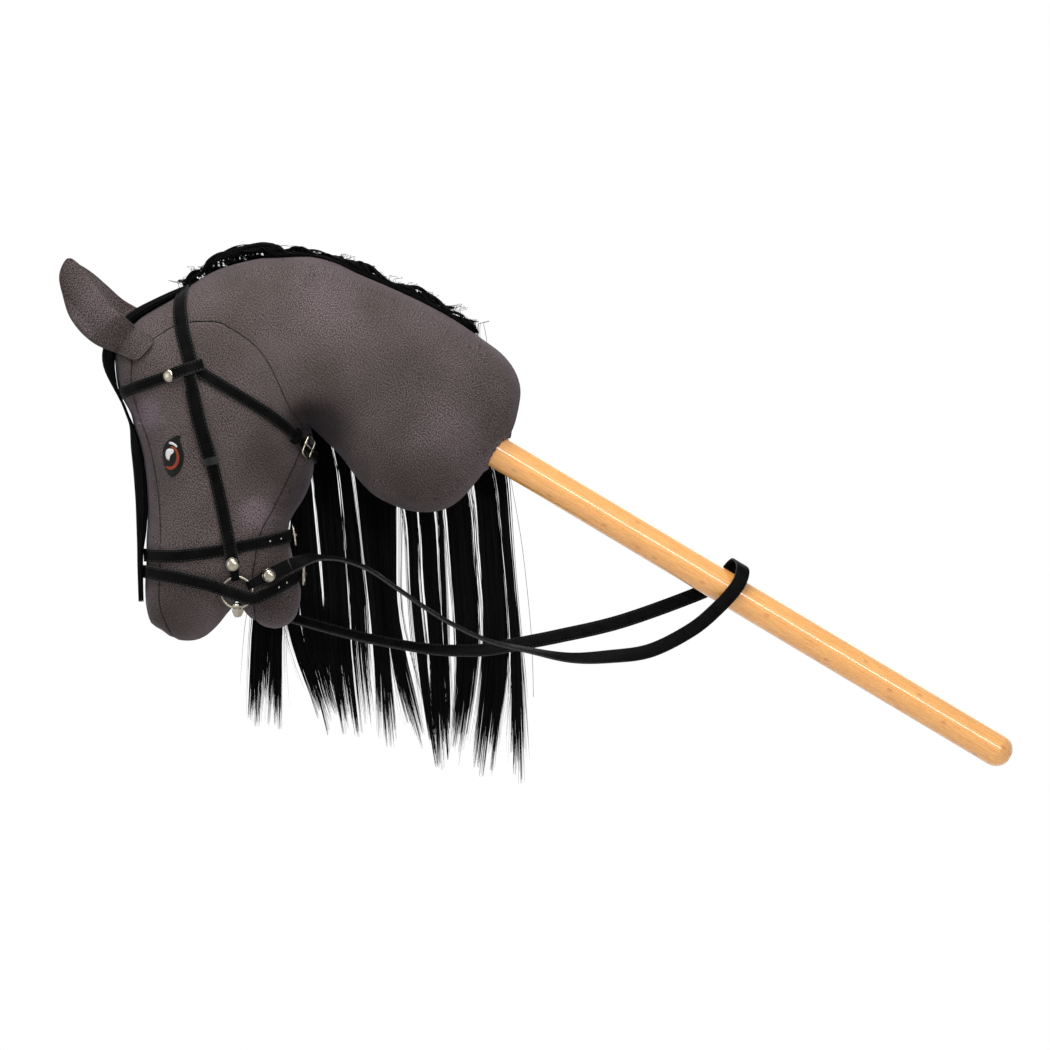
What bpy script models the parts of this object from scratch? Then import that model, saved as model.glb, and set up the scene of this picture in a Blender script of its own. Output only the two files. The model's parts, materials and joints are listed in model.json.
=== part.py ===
"""Hobby horse: a stuffed cloth horse's head with mane and bridle on a round beech stick.

Lengths are in millimetres until a mesh is made. The horse looks along -X, its left side
faces -Y, and the origin is the grip, a point on the stick's axis below the neck.
Side-view lists are (x, z) from the point where the stick's axis enters the neck.
"""

import math

import bmesh
import bpy
import numpy as np
from mathutils import Matrix, Vector
from mathutils.bvhtree import BVHTree
from mathutils.geometry import convex_hull_2d, delaunay_2d_cdt

MM = 0.001
GAP = 0.3
NEAR, RIDGE, FAR = -1, 0, 1

# Stick and the parts that hold the head on it
STICK_DIAMETER = 28.0
STICK_OUTSIDE = 502.0
STICK_INSIDE = 205.0
STICK_SLOPE = math.radians(30.86)
STICK_SIDES = 28
FOOT_FLAT = 8.0
GRIP_BELOW_NECK = 100.0
SLEEVE_WALL = 1.2
SLEEVE_START = 9.0
TIE_DIAMETER = 2.4
TIE_INSIDE = 14.0

# Stuffed head and neck
HEAD_SIZE = 341.0
PATTERN_SIZE = 341.0
FABRIC = 1.5
FULLNESS = 0.85
PANEL_GRID = 15.0
LAYERS = (0.9, 3.2, 7.2, 13.5, 22.0, 33.0, 46.0, 60.0, 75.0)

# Bridle
STRAP_WIDTH = 11.0
NARROW_STRAP = 10.0
STRAP_THICKNESS = 1.8
STRAP_STEP = 6.5
STRAP_REACH = 12.0
STRAP_GAP = 0.5
OUTSIDE = 400.0
STUD_DIAMETER = 11.0
STUD_HEIGHT = 3.6
RING_RADIUS = 13.0
RING_WIRE = 2.2
RING_CLEARANCE = 0.45
LOOP_INNER = RING_WIRE / 2 + RING_CLEARANCE + 0.9
LOOP_OUTER = LOOP_INNER + 1.4
BIT_DIAMETER = 6.4
BIT_BELOW_RING = 1.5
BUTT_SIZE = (9.0, 7.0, 12.0)
BUTT_BEVEL = 1.6
BUTT_DROP = 0.6
BUTT_HOLE_ROOM = 0.7
CHEEK_ABOVE_RING = 4.15
BUCKLE_SIZE = (15.0, 17.0)
BUCKLE_WIRE = 2.0
BUCKLE_CORNER = 3.0
EYE_INNER = BUCKLE_WIRE / 2 + GAP
EYE_OUTER = EYE_INNER + 0.5
TONGUE_WIDTH = 1.8
TONGUE_THICKNESS = 1.3
TONGUE_EYE_WIDTH = 2.6
REIN_DIAMETER = 5.0

# Hair
MANE_LOCKS = 11
MANE_TIP_FRONT = 222.0
MANE_TIP_BACK = 268.0
MANE_TIP_UNEVEN = 8.0
MANE_SWEEP = 36.0
MANE_THICKNESS = 6.0
MANE_SWEEP_CURVE = 1.4
MANE_CREST_FOLD = 28.0
MANE_ON_NECK = (38.0, 110.0)
MANE_FREE_FROM = 140.0
MANE_TAPER_FROM = 0.72
WEFT_WIDTH = 9.0
WEFT_DROP = 12.0
LOCK_FILL = 0.86
LOCK_SIDES = 6
BRAID_RADIUS = 6.2
BRAID_WAVE = 1.3

NECK_EDGE = [
    (-322, 86), (-314, 101), (-303, 113), (-289, 121), (-274, 128), (-261, 139), (-237, 153), (-206, 162),
    (-184, 164), (-157, 165), (-137, 160), (-116, 150), (-90, 139), (-62, 126), (-35, 111), (-13, 95),
    (3, 83), (14, 69), (19, 53), (17, 35), (12, 18), (3, 4), (-7, -10), (-19, -26), (-34, -42),
    (-51, -50), (-72, -50), (-90, -44), (-106, -35), (-121, -19), (-132, -4), (-145, 9),
]
JAW_EDGE = [
    (-157, 20), (-154, 5), (-155, -11), (-157, -23), (-163, -38), (-173, -54), (-177, -66),
    (-174, -83), (-170, -102), (-166, -115), (-167, -128), (-172, -141), (-183, -148), (-193, -148),
]
MOUTH_EDGE = [
    (-204, -143), (-212, -136), (-216, -128), (-220, -119), (-223, -128), (-228, -136),
    (-237, -147), (-248, -156), (-260, -159),
]
FACE_EDGE = [
    (-273, -157), (-283, -150), (-292, -144), (-296, -131), (-297, -118), (-297, -107), (-296, -91),
    (-296, -74), (-295, -53), (-297, -24), (-301, 2), (-306, 19), (-309, 32), (-316, 45), (-320, 55),
    (-322, 71),
]
POLL_SEAM = [(-322, 86), (-307, 86)]
CHEEK_SEAM = [
    (-307, 86), (-291, 94), (-273, 105), (-257, 109), (-236, 109), (-225, 104), (-211, 95), (-199, 84),
    (-191, 72), (-183, 55), (-174, 35), (-165, 24),
]
THROAT_SEAM = [(-165, 24), (-157, 20)]
FACE_SEAM = [
    (-307, 86), (-308, 56), (-301, 29), (-293, 6), (-287, -24), (-284, -53), (-284, -91),
    (-285, -125), (-280, -143), (-273, -157),
]
JAW_SEAM = [
    (-165, 24), (-164, 10), (-168, -5), (-179, -29), (-189, -49), (-199, -68), (-204, -91),
    (-207, -116), (-204, -143),
]
EAR_EDGE = [
    (-359, 162), (-346, 151), (-335, 137), (-324, 122), (-312, 111), (-298, 99), (-290, 93), (-296, 84),
    (-304, 78), (-318, 83), (-332, 88), (-341, 93), (-351, 102), (-360, 115), (-365, 131), (-368, 146),
    (-365, 157),
]
EAR_BASE = (-297, 88)
EAR_STANDOFF = 27.0
EAR_ROOT = 34.0
EAR_CAMBER = 9.0
EAR_HALF_WIDTH = 24.0
EYE_THICKNESS = 0.8
EYE_EDGE = [(-282, 0), (-277, 9), (-268, 13), (-264, 3), (-264, -9), (-268, -17), (-274, -20), (-280, -12)]

# Straps, from the photographed left side. Each ends on a ridge point or is mirrored to the far side.
CROWN_TOP = (-264, 138)
CROWN = [(-269, 111), (-263, 90), (-258, 72)]
CHEEK = [(-257, 64), (-250, 26), (-238, -13), (-230, -53), (-225, -80)]
CHEEK_FOOT = -223
BROWBAND = [(-250, 71), (-276, 63), (-297, 56)]
BROWBAND_FRONT = (-321, 48)
THROATLATCH = [(-246, 65), (-217, 47), (-188, 30), (-172, 15), (-162, 2)]
THROATLATCH_UNDER = (-156, -8)
NOSEBAND = [(-188, -73), (-209, -77), (-235, -83), (-270, -88)]
NOSEBAND_FRONT = (-297, -86)
NOSEBAND_BACK = (-174, -70)
FLASH = [(-300, -100), (-268, -106), (-242, -111), (-217, -117), (-203, -121), (-187, -114), (-160, -99)]
BROW_STUD = (-276, 63)
BIT_RING = (-219, -118)
CHEEK_ANGLE = math.radians(97)
REIN_ANGLE = {NEAR: math.radians(30), FAR: math.radians(-45)}
REIN_STUD_SHARE = 0.42
TAIL_CLEARANCE = 1.45
LOOP_WIDTH = 7.0
RING_ROOM = 6.0
THROAT_BUCKLE = (-164, 5)
NOSE_BUCKLE = (-174, -70)
FLASH_BUCKLE = (-163, -101)

# Rein between its two end pieces: x, y, z, over the stick and back on the far side
REIN_ROUTE = [
    (-174, -36, -95), (-158, -37, -90), (-146, -37, -89), (-129, -37, -91), (-108, -36, -99),
    (-87, -35, -113), (-61, -33, -131), (-36, -31, -146), (-7, -29, -159), (27, -28, -167),
    (61, -26, -173), (94, -25, -172), (128, -23, -167), (162, -21, -150), (184, -20, -132),
    (201, -19, -113), (206, -14, -99), (202, 0, -93), (196, 14, -98), (187, 19, -110),
    (162, 21, -122), (103, 24, -143), (52, 26, -155), (16, 28, -162), (-13, 29, -167),
    (-48, 31, -167), (-79, 33, -163), (-115, 35, -156), (-146, 37, -148), (-174, 37, -140),
]

CREST = [
    (-261, 139), (-237, 153), (-206, 162), (-184, 164), (-157, 165), (-137, 160), (-116, 150),
    (-90, 139), (-62, 126), (-35, 111), (-17, 98),
]

# Forelock: x, z, half its depth and half its width, pressed thin where a strap crosses it
FORELOCK = [
    (-301, 118.5, 2.2, 7), (-312, 110, 3, 9), (-323, 97, 4, 11), (-328, 84, 4.5, 12), (-328.5, 70, 4, 12),
    (-321.5, 50, 1.0, 9), (-317, 38, 0.9, 9), (-313.5, 26, 1.1, 9), (-310, 13, 1.8, 10), (-306.5, 0, 2.8, 11),
    (-303, -24, 3.4, 12), (-300.5, -57, 3.6, 12), (-300, -76, 1.6, 10), (-299.4, -86, 0.9, 9),
    (-300, -99, 0.9, 8), (-302, -113, 1.5, 5), (-300.5, -123, 0.6, 3),
]
FORELOCK_Y = 3.0

SCALE = HEAD_SIZE / PATTERN_SIZE
STICK_RADIUS = STICK_DIAMETER / 2
STICK_DOWN = Vector((math.cos(STICK_SLOPE), 0, -math.sin(STICK_SLOPE)))
ENTRY = -STICK_DOWN * GRIP_BELOW_NECK


def clear_scene():
    for obj in list(bpy.data.objects):
        bpy.data.objects.remove(obj, do_unlink=True)


def material(name, colour, roughness, metallic=0.0):
    made = bpy.data.materials.new(name)
    made.use_nodes = True
    shader = made.node_tree.nodes["Principled BSDF"]
    shader.inputs["Base Color"].default_value = (*colour, 1)
    shader.inputs["Roughness"].default_value = roughness
    shader.inputs["Metallic"].default_value = metallic
    return made


def empty(name, place):
    made = bpy.data.objects.new(name, None)
    made.location = Vector(place) * MM
    bpy.context.collection.objects.link(made)
    return made


def add_object(name, mesh, look, parent, smooth=True, place=(0, 0, 0)):
    """An object under parent, its origin at place, for a mesh already in metres about that origin."""
    if smooth:
        mesh.shade_smooth()
        mesh.set_sharp_from_angle(angle=math.radians(40))
    mesh.materials.append(look)
    made = bpy.data.objects.new(name, mesh)
    made.parent = parent
    made.location = Vector(place) * MM
    bpy.context.collection.objects.link(made)
    return made


def mesh_from(name, points, faces):
    mesh = bpy.data.meshes.new(name)
    corners = [tuple(float(c) * MM for c in p) for p in points]
    mesh.from_pydata(corners, [], [tuple(map(int, f)) for f in faces])
    mesh.update()
    return mesh


def turned(name, profile, sides):
    """A closed solid turned about Z from (radius, height) points, whose ends lie on the axis or meet."""
    mesh = bpy.data.meshes.new(name)
    work = bmesh.new()
    points = [work.verts.new((r * MM, 0, z * MM)) for r, z in profile]
    edges = [work.edges.new(pair) for pair in zip(points, points[1:])]
    if profile[0][0] > 0:
        edges.append(work.edges.new((points[-1], points[0])))
    bmesh.ops.spin(work, geom=points + edges, axis=(0, 0, 1), cent=(0, 0, 0), angle=math.tau, steps=sides)
    bmesh.ops.remove_doubles(work, verts=work.verts, dist=1e-6)
    bmesh.ops.recalc_face_normals(work, faces=work.faces)
    work.to_mesh(mesh)
    work.free()
    return mesh


def cutter(name, radius, low, high, parent):
    """A round cutter on the stick's axis between two distances below the neck."""
    mesh = turned(name, [(0, low), (radius, low), (radius, high), (0, high)], STICK_SIDES)
    made = bpy.data.objects.new(name, mesh)
    made.parent = parent
    made.rotation_euler = (0, math.pi / 2 + STICK_SLOPE, 0)
    made.hide_render = True
    made.display_type = "WIRE"
    bpy.context.collection.objects.link(made)
    return made


def boolean(obj, other, operation="DIFFERENCE"):
    modifier = obj.modifiers.new(other.name, "BOOLEAN")
    modifier.operation = operation
    modifier.object = other


def curve_points(points, step, closed=False):
    """Points of a Catmull-Rom curve through the given ones, which it keeps, at about the given step."""
    given = [np.array(p, float) for p in points]
    count = len(given)
    found = []
    for i in range(count if closed else count - 1):
        a, b = given[i], given[(i + 1) % count]
        before = given[i - 1] if closed or i else 2 * a - b
        after = given[(i + 2) % count] if closed or i + 2 < count else 2 * b - a
        pieces = max(1, round(float(np.linalg.norm(b - a)) / step))
        for k in range(pieces):
            t = k / pieces
            found.append(
                0.5 * (2 * a + (b - before) * t + (2 * before - 5 * a + 4 * b - after) * t * t
                       + (3 * a - before - 3 * b + after) * t ** 3)
            )
    if not closed:
        found.append(given[-1])
    return np.array(found)


def even_points(points, step, closed=False):
    """The same curve with points evenly spaced."""
    dense = curve_points(points, step / 6, closed)
    if closed:
        dense = np.vstack([dense, dense[:1]])
    along = np.concatenate([[0], np.cumsum(np.linalg.norm(np.diff(dense, axis=0), axis=1))])
    pieces = max(2, round(along[-1] / step))
    wanted = np.linspace(0, along[-1], pieces + 1)
    even = np.stack([np.interp(wanted, along, dense[:, k]) for k in range(dense.shape[1])], axis=1)
    return even[:-1] if closed else even


def distance_to(points, line):
    """Least distance from each 2-D point to a polyline."""
    best = np.full(len(points), np.inf)
    for a, b in zip(line, line[1:]):
        along = b - a
        share = np.clip(((points - a) @ along) / max(along @ along, 1e-9), 0, 1)
        best = np.minimum(best, np.linalg.norm(points - a - share[:, None] * along, axis=1))
    return best


def inside_loop(points, loop):
    """Which 2-D points lie inside a closed loop."""
    inside = np.zeros(len(points), bool)
    for a, b in zip(loop, np.roll(loop, -1, axis=0)):
        spans = (a[1] > points[:, 1]) != (b[1] > points[:, 1])
        rise = b[1] - a[1] if b[1] != a[1] else 1.0
        crossing = a[0] + (points[:, 1] - a[1]) * (b[0] - a[0]) / rise
        inside ^= spans & (points[:, 0] < crossing)
    return inside


class StuffedForm:
    """The sewn head and neck: flat panels in side view, rounded out as firm stuffing rounds them."""

    def __init__(self):
        self.points = []
        edges = [self.line(part) for part in self.outline_parts()]
        seams = {
            "poll": self.line(curve_points(np.array(POLL_SEAM) * SCALE, PANEL_GRID)),
            "cheek": self.line(curve_points(np.array(CHEEK_SEAM) * SCALE, PANEL_GRID)),
            "throat": self.line(curve_points(np.array(THROAT_SEAM) * SCALE, PANEL_GRID)),
            "face": self.line(curve_points(np.array(FACE_SEAM) * SCALE, PANEL_GRID)),
            "jaw": self.line(curve_points(np.array(JAW_SEAM) * SCALE, PANEL_GRID)),
        }
        neck, jaw, mouth, face = edges
        self.regions = {
            "neck": neck + seams["throat"][::-1][1:] + seams["cheek"][::-1][1:] + seams["poll"][::-1][1:-1],
            "jaw": seams["throat"] + jaw[1:] + seams["jaw"][::-1][1:-1],
            "cheek": seams["cheek"] + seams["jaw"][1:] + mouth[1:] + seams["face"][::-1][1:-1],
            "face": seams["poll"] + seams["face"][1:] + face[1:-1],
        }
        self.rim = neck + jaw[1:] + mouth[1:] + face[1:-1]
        lines = [[self.points[i] for i in seam] for seam in seams.values()]
        self.points += self.inner_points([self.points[i] for i in self.rim], lines)
        self.triangulate()
        self.raise_sheets()

    def outline_parts(self):
        """The outline as four open runs that share their end points."""
        lists = [NECK_EDGE, JAW_EDGE, MOUTH_EDGE, FACE_EDGE]
        given = np.array([p for part in lists for p in part], float) * SCALE
        whole = curve_points(given, PANEL_GRID, closed=True)
        starts = []
        for part in lists:
            start = np.array(part[0]) * SCALE
            starts.append(int(np.argmin(np.linalg.norm(whole - start, axis=1))))
        starts.append(len(whole))
        whole = np.vstack([whole, whole[:1]])
        return [whole[a:b + 1] for a, b in zip(starts, starts[1:])]

    def line(self, points):
        """Numbers of the given points, each stored once."""
        numbers = []
        for point in points:
            near = [i for i, q in enumerate(self.points) if np.linalg.norm(q - point) < 0.01]
            numbers.append(near[0] if near else len(self.points))
            if not near:
                self.points.append(np.array(point, float))
        return numbers

    def inner_points(self, rim, seams):
        """Rows of points inside the outline, close together at the edge, where the form curves most."""
        rim = np.array(rim)
        forward = np.roll(rim, -1, axis=0) - np.roll(rim, 1, axis=0)
        area = np.sum(rim[:, 0] * np.roll(rim[:, 1], -1) - np.roll(rim[:, 0], -1) * rim[:, 1])
        inward = np.stack([-forward[:, 1], forward[:, 0]], axis=1) * np.sign(area)
        inward /= np.linalg.norm(inward, axis=1, keepdims=True)
        closed_rim = np.vstack([rim, rim[:1]])
        kept = []
        for depth in LAYERS:
            depth *= SCALE
            row = rim + inward * depth
            away = distance_to(row, closed_rim)
            from_seam = np.min([distance_to(row, np.array(seam)) for seam in seams], axis=0)
            spacing = PANEL_GRID * SCALE * (0.45 if depth < 10 * SCALE else 0.7)
            for i, point in enumerate(row):
                clear = from_seam[i] > min(0.35 * PANEL_GRID * SCALE, 0.8 * depth)
                clear = clear and away[i] > 0.93 * depth
                if clear and all(np.linalg.norm(point - q) > min(spacing, 1.4 * depth) for q in kept[-400:]):
                    kept.append(point)
        return kept

    def triangulate(self):
        names = list(self.regions)
        loops = [self.regions[name] for name in names]
        flat = [Vector((float(p[0]), float(p[1]))) for p in self.points]
        points, _, faces, first, _, _ = delaunay_2d_cdt(flat, [], loops, 1, 1e-6, True)
        self.flat = np.array([(p.x, p.y) for p in points])
        self.faces = np.array(faces)
        centres = self.flat[self.faces].mean(axis=1)
        self.owner = np.full(len(centres), -1)
        for number, loop in enumerate(loops):
            self.owner[inside_loop(centres, np.array([self.points[i] for i in loop]))] = number
        self.faces = self.faces[self.owner >= 0]
        self.owner = self.owner[self.owner >= 0]
        self.names = names
        rim = set(self.rim)
        self.on_rim = np.array([any(i in rim for i in ids) for ids in first])
        corners = self.flat[self.faces]
        ab, ac = corners[:, 1] - corners[:, 0], corners[:, 2] - corners[:, 0]
        clockwise = ab[:, 0] * ac[:, 1] - ab[:, 1] * ac[:, 0] < 0
        self.faces[clockwise] = self.faces[clockwise][:, ::-1]

    def half_width(self):
        """How far the stuffing pushes each point out: the root of the shape that a soap film takes."""
        count = len(self.flat)
        stiffness = np.zeros((count, count))
        load = np.zeros(count)
        corners = self.flat[self.faces]
        sides = np.roll(corners, -2, axis=1) - np.roll(corners, -1, axis=1)
        area = 0.5 * np.abs(sides[:, 0, 0] * sides[:, 1, 1] - sides[:, 0, 1] * sides[:, 1, 0])
        for i in range(3):
            np.add.at(load, self.faces[:, i], area / 3)
            for j in range(3):
                value = np.sum(sides[:, i] * sides[:, j], axis=1) / (4 * area)
                np.add.at(stiffness, (self.faces[:, i], self.faces[:, j]), value)
        free = np.flatnonzero(~self.on_rim)
        height = np.zeros(count)
        height[free] = np.linalg.solve(stiffness[np.ix_(free, free)], load[free])
        return FULLNESS * np.sqrt(2 * np.maximum(height, 0))

    def raise_sheets(self):
        """Both sides as one closed surface: self.outer, with a face list for each region and side."""
        width = self.half_width()
        count = len(self.flat)
        near = np.stack([self.flat[:, 0], -width, self.flat[:, 1]], axis=1)
        inner = np.flatnonzero(~self.on_rim)
        far_number = np.arange(count)
        far_number[inner] = count + np.arange(len(inner))
        far = near[inner] * (1, -1, 1)
        self.outer = np.vstack([near, far])
        self.near_faces = self.faces
        self.far_faces = far_number[self.faces][:, ::-1]
        both = np.vstack([self.near_faces, self.far_faces])
        self.normals = vertex_normals(self.outer, both)
        self.all_faces = both

    def region_faces(self, regions, sides):
        picked = []
        for region in regions:
            mine = self.owner == self.names.index(region)
            if NEAR in sides:
                picked.append(self.near_faces[mine])
            if FAR in sides:
                picked.append(self.far_faces[mine])
        return np.vstack(picked)

    def drawn_in(self, faces, depth):
        """Points of the surface moved inwards, and away from the borders of the given faces by half a gap."""
        shift = np.zeros_like(self.outer)
        for a, b in border_edges(faces):
            edge = self.outer[b] - self.outer[a]
            face = next(f for f in faces if a in f and b in f)
            first, second, third = self.outer[list(face)]
            normal = np.cross(second - first, third - first)
            side = np.cross(normal, edge)
            side /= np.linalg.norm(side)
            shift[a] += side
            shift[b] += side
        size = np.linalg.norm(shift, axis=1, keepdims=True)
        shift = np.divide(shift, size, out=np.zeros_like(shift), where=size > 0)
        stretch = np.where(size > 0, np.minimum(2 / np.maximum(size, 0.7), 1.6), 1)
        return self.outer + shift * stretch * (GAP / 2 + 0.02) - self.normals * depth

    def panel(self, name, regions, sides, look, parent):
        """A cloth panel: the region's faces with the fabric's thickness."""
        faces = self.region_faces(regions, sides)
        outside = self.drawn_in(faces, 0)
        inside = self.drawn_in(faces, FABRIC)
        count = len(outside)
        rim = []
        for a, b in border_edges(faces):
            rim += bridged(a, b, a + count, b + count)
        everything = [tuple(f) for f in faces] + [tuple(f[::-1] + count) for f in faces] + rim
        return add_object(name, packed_mesh(name, np.vstack([outside, inside]), everything), look, parent)

    def stuffing(self, name, regions, look, parent):
        """The filling of a part of the form, closed across the seam where the other part meets it."""
        faces = self.region_faces(regions, (NEAR, FAR))
        inside = self.drawn_in(faces, FABRIC + GAP)
        twin = {}
        for near, far in zip(self.near_faces.reshape(-1), self.far_faces[:, ::-1].reshape(-1)):
            twin[int(near)] = int(far)
        wall = []
        for a, b in border_edges(faces):
            if a in twin and b in twin:
                wall += bridged(a, b, twin[a], twin[b])
        everything = [tuple(f) for f in faces] + wall
        return add_object(name, packed_mesh(name, inside, everything), look, parent)


def bridged(a, b, under_a, under_b):
    """Two triangles from edge a-b to the points under it, split alike whichever piece asks."""
    if a < b:
        pair = [(b, a, under_b), (a, under_a, under_b)]
    else:
        pair = [(b, a, under_a), (b, under_a, under_b)]
    return [corners for corners in pair if len(set(corners)) == 3]


def vertex_normals(points, faces):
    normals = np.zeros_like(points)
    corners = points[faces]
    cross = np.cross(corners[:, 1] - corners[:, 0], corners[:, 2] - corners[:, 0])
    for k in range(3):
        np.add.at(normals, faces[:, k], cross)
    return normals / np.maximum(np.linalg.norm(normals, axis=1, keepdims=True), 1e-9)


def border_edges(faces):
    """Directed edges that only one face has."""
    held = set()
    for a, b, c in faces:
        held |= {(int(a), int(b)), (int(b), int(c)), (int(c), int(a))}
    return sorted((a, b) for a, b in held if (b, a) not in held)


def packed_mesh(name, points, faces):
    """A mesh of only the points that the faces use."""
    used = sorted({int(i) for face in faces for i in face})
    number = {old: new for new, old in enumerate(used)}
    return mesh_from(name, [points[i] for i in used], [[number[int(i)] for i in face] for face in faces])


class Ground:
    """What a strap or a lock of hair lies on: the stuffed form and every piece laid on it so far."""

    def __init__(self, points, faces):
        self.points = [tuple(p) for p in points]
        self.faces = [tuple(map(int, f)) for f in faces]
        self.body = BVHTree.FromPolygons(self.points, self.faces)
        self.tree = self.body

    def add(self, points, faces):
        start = len(self.points)
        self.points += [tuple(map(float, p)) for p in points]
        self.faces += [tuple(int(i) + start for i in f) for f in faces]
        self.tree = BVHTree.FromPolygons(self.points, self.faces)

    def side_point(self, x, z, side):
        """The body's surface at (x, z) in side view."""
        hit = self.body.ray_cast(Vector((x, OUTSIDE * side, z)), Vector((0, -side, 0)))[0]
        return np.array(hit) if hit else np.array((x, 0.0, z))

    def side_height(self, x, z, side):
        """How far out everything laid so far reaches at (x, z) on one side."""
        hit = self.tree.ray_cast(Vector((x, OUTSIDE * side, z)), Vector((0, -side, 0)))[0]
        return side * hit.y if hit else 0.0

    def highest_near(self, x, z, side, reach):
        """The same at (x, z) and at four points round it."""
        around = ((0, 0), (reach, 0), (-reach, 0), (0, reach), (0, -reach))
        return max(self.side_height(x + dx, z + dz, side) for dx, dz in around)


def strap_path(ground, stops, step, closed, rounds=24):
    """A taut path on the body through the stops, each (x, z, side)."""
    fixed = [ground.side_point(x, z, s) if s else np.array((x, 0.0, z)) for x, z, s in stops]
    path = even_points(fixed, step, closed)
    pinned = {int(np.argmin(np.linalg.norm(path - stop, axis=1))) for stop in fixed}
    for _ in range(rounds):
        before, after = np.roll(path, 1, axis=0), np.roll(path, -1, axis=0)
        if not closed:
            before[0], after[-1] = path[0], path[-1]
        eased = (before + after) / 2
        moving = range(len(path)) if closed else range(1, len(path) - 1)
        for i in moving:
            share = 0.15 if i in pinned else 0.5
            moved = path[i] + (eased[i] - path[i]) * share
            path[i] = np.array(ground.body.find_nearest(Vector(moved))[0])
    return path


def strap_frames(ground, path, closed):
    """Along, across and out directions at each point of a path on the body."""
    if closed:
        along = np.roll(path, -1, axis=0) - np.roll(path, 1, axis=0)
    else:
        along = np.gradient(path, axis=0)
    along /= np.linalg.norm(along, axis=1, keepdims=True)
    out = np.array([ground.body.find_nearest(Vector(p))[1] for p in path])
    for _ in range(3):
        sides = (np.roll(out, 1, axis=0) + np.roll(out, -1, axis=0)) / 2
        if not closed:
            sides[0], sides[-1] = out[0], out[-1]
        out = (out + sides) / 2
    across = np.cross(along, out)
    across /= np.linalg.norm(across, axis=1, keepdims=True)
    return along, across, np.cross(across, along)


def strap_lift(ground, path, along, across, out, width, closed):
    """How far each section must stand off so that its whole width clears what lies under it."""
    lift = []
    for point, ahead, side, up in zip(path, along, across, out):
        tops = [0.0]
        for share in np.linspace(-0.5, 0.5, 7):
            for forward in (-0.5, -0.25, 0, 0.25, 0.5):
                start = point + side * share * width + ahead * forward * STRAP_STEP + up * STRAP_REACH
                hit = ground.tree.ray_cast(Vector(start), Vector(-up), 2 * STRAP_REACH)
                if hit[0]:
                    tops.append(STRAP_REACH - hit[3])
        lift.append(max(tops))
    lift = np.array(lift)
    before, after = np.roll(lift, 1), np.roll(lift, -1)
    if not closed:
        before[0], after[-1] = lift[0], lift[-1]
    high = np.maximum(lift, np.maximum(before, after))
    before, after = np.roll(high, 1), np.roll(high, -1)
    if not closed:
        before[0], after[-1] = high[0], high[-1]
    return np.maximum(high, (before + 2 * high + after) / 4)


def band(points, across, out, width, thickness, closed):
    """Points and faces of a strap with four corners a section."""
    corners = []
    for point, side, up in zip(points, across, out):
        for w, t in ((-0.5, 0), (0.5, 0), (0.5, 1), (-0.5, 1)):
            corners.append(point + side * w * width + up * t * thickness)
    count = len(points)
    faces = []
    for i in range(count if closed else count - 1):
        a, b = 4 * i, 4 * ((i + 1) % count)
        for k in range(4):
            n = (k + 1) % 4
            faces.append((a + k, a + n, b + n, b + k))
    if not closed:
        last = 4 * (count - 1)
        faces += [(3, 2, 1, 0), (last, last + 1, last + 2, last + 3)]
    return corners, faces


def facing_out(points, faces):
    """The faces turned so that the solid's volume is positive."""
    volume = 0.0
    for face in faces:
        a = np.array(points[face[0]])
        for i, j in zip(face[1:], face[2:]):
            volume += float(np.dot(a, np.cross(points[i], points[j])))
    return faces if volume > 0 else [tuple(f[::-1]) for f in faces]


def lay_strap(name, ground, stops, look, parent, width=STRAP_WIDTH, closed=False):
    """A strap on the body through the stops. It returns the object and its sections, for what sits on it."""
    path = strap_path(ground, stops, STRAP_STEP, closed)
    along, across, out = strap_frames(ground, path, closed)
    lift = strap_lift(ground, path, along, across, out, width, closed) + STRAP_GAP
    inner = path + out * lift[:, None]
    points, faces = band(inner, across, out, width, STRAP_THICKNESS, closed)
    faces = facing_out(points, faces)
    ground.add(points, faces)
    made = add_object(name, mesh_from(name, points, faces), look, parent)
    made.data.set_sharp_from_angle(angle=math.radians(30))
    sections = {"inner": inner, "along": along, "across": across, "out": out}
    return made, sections


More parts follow.
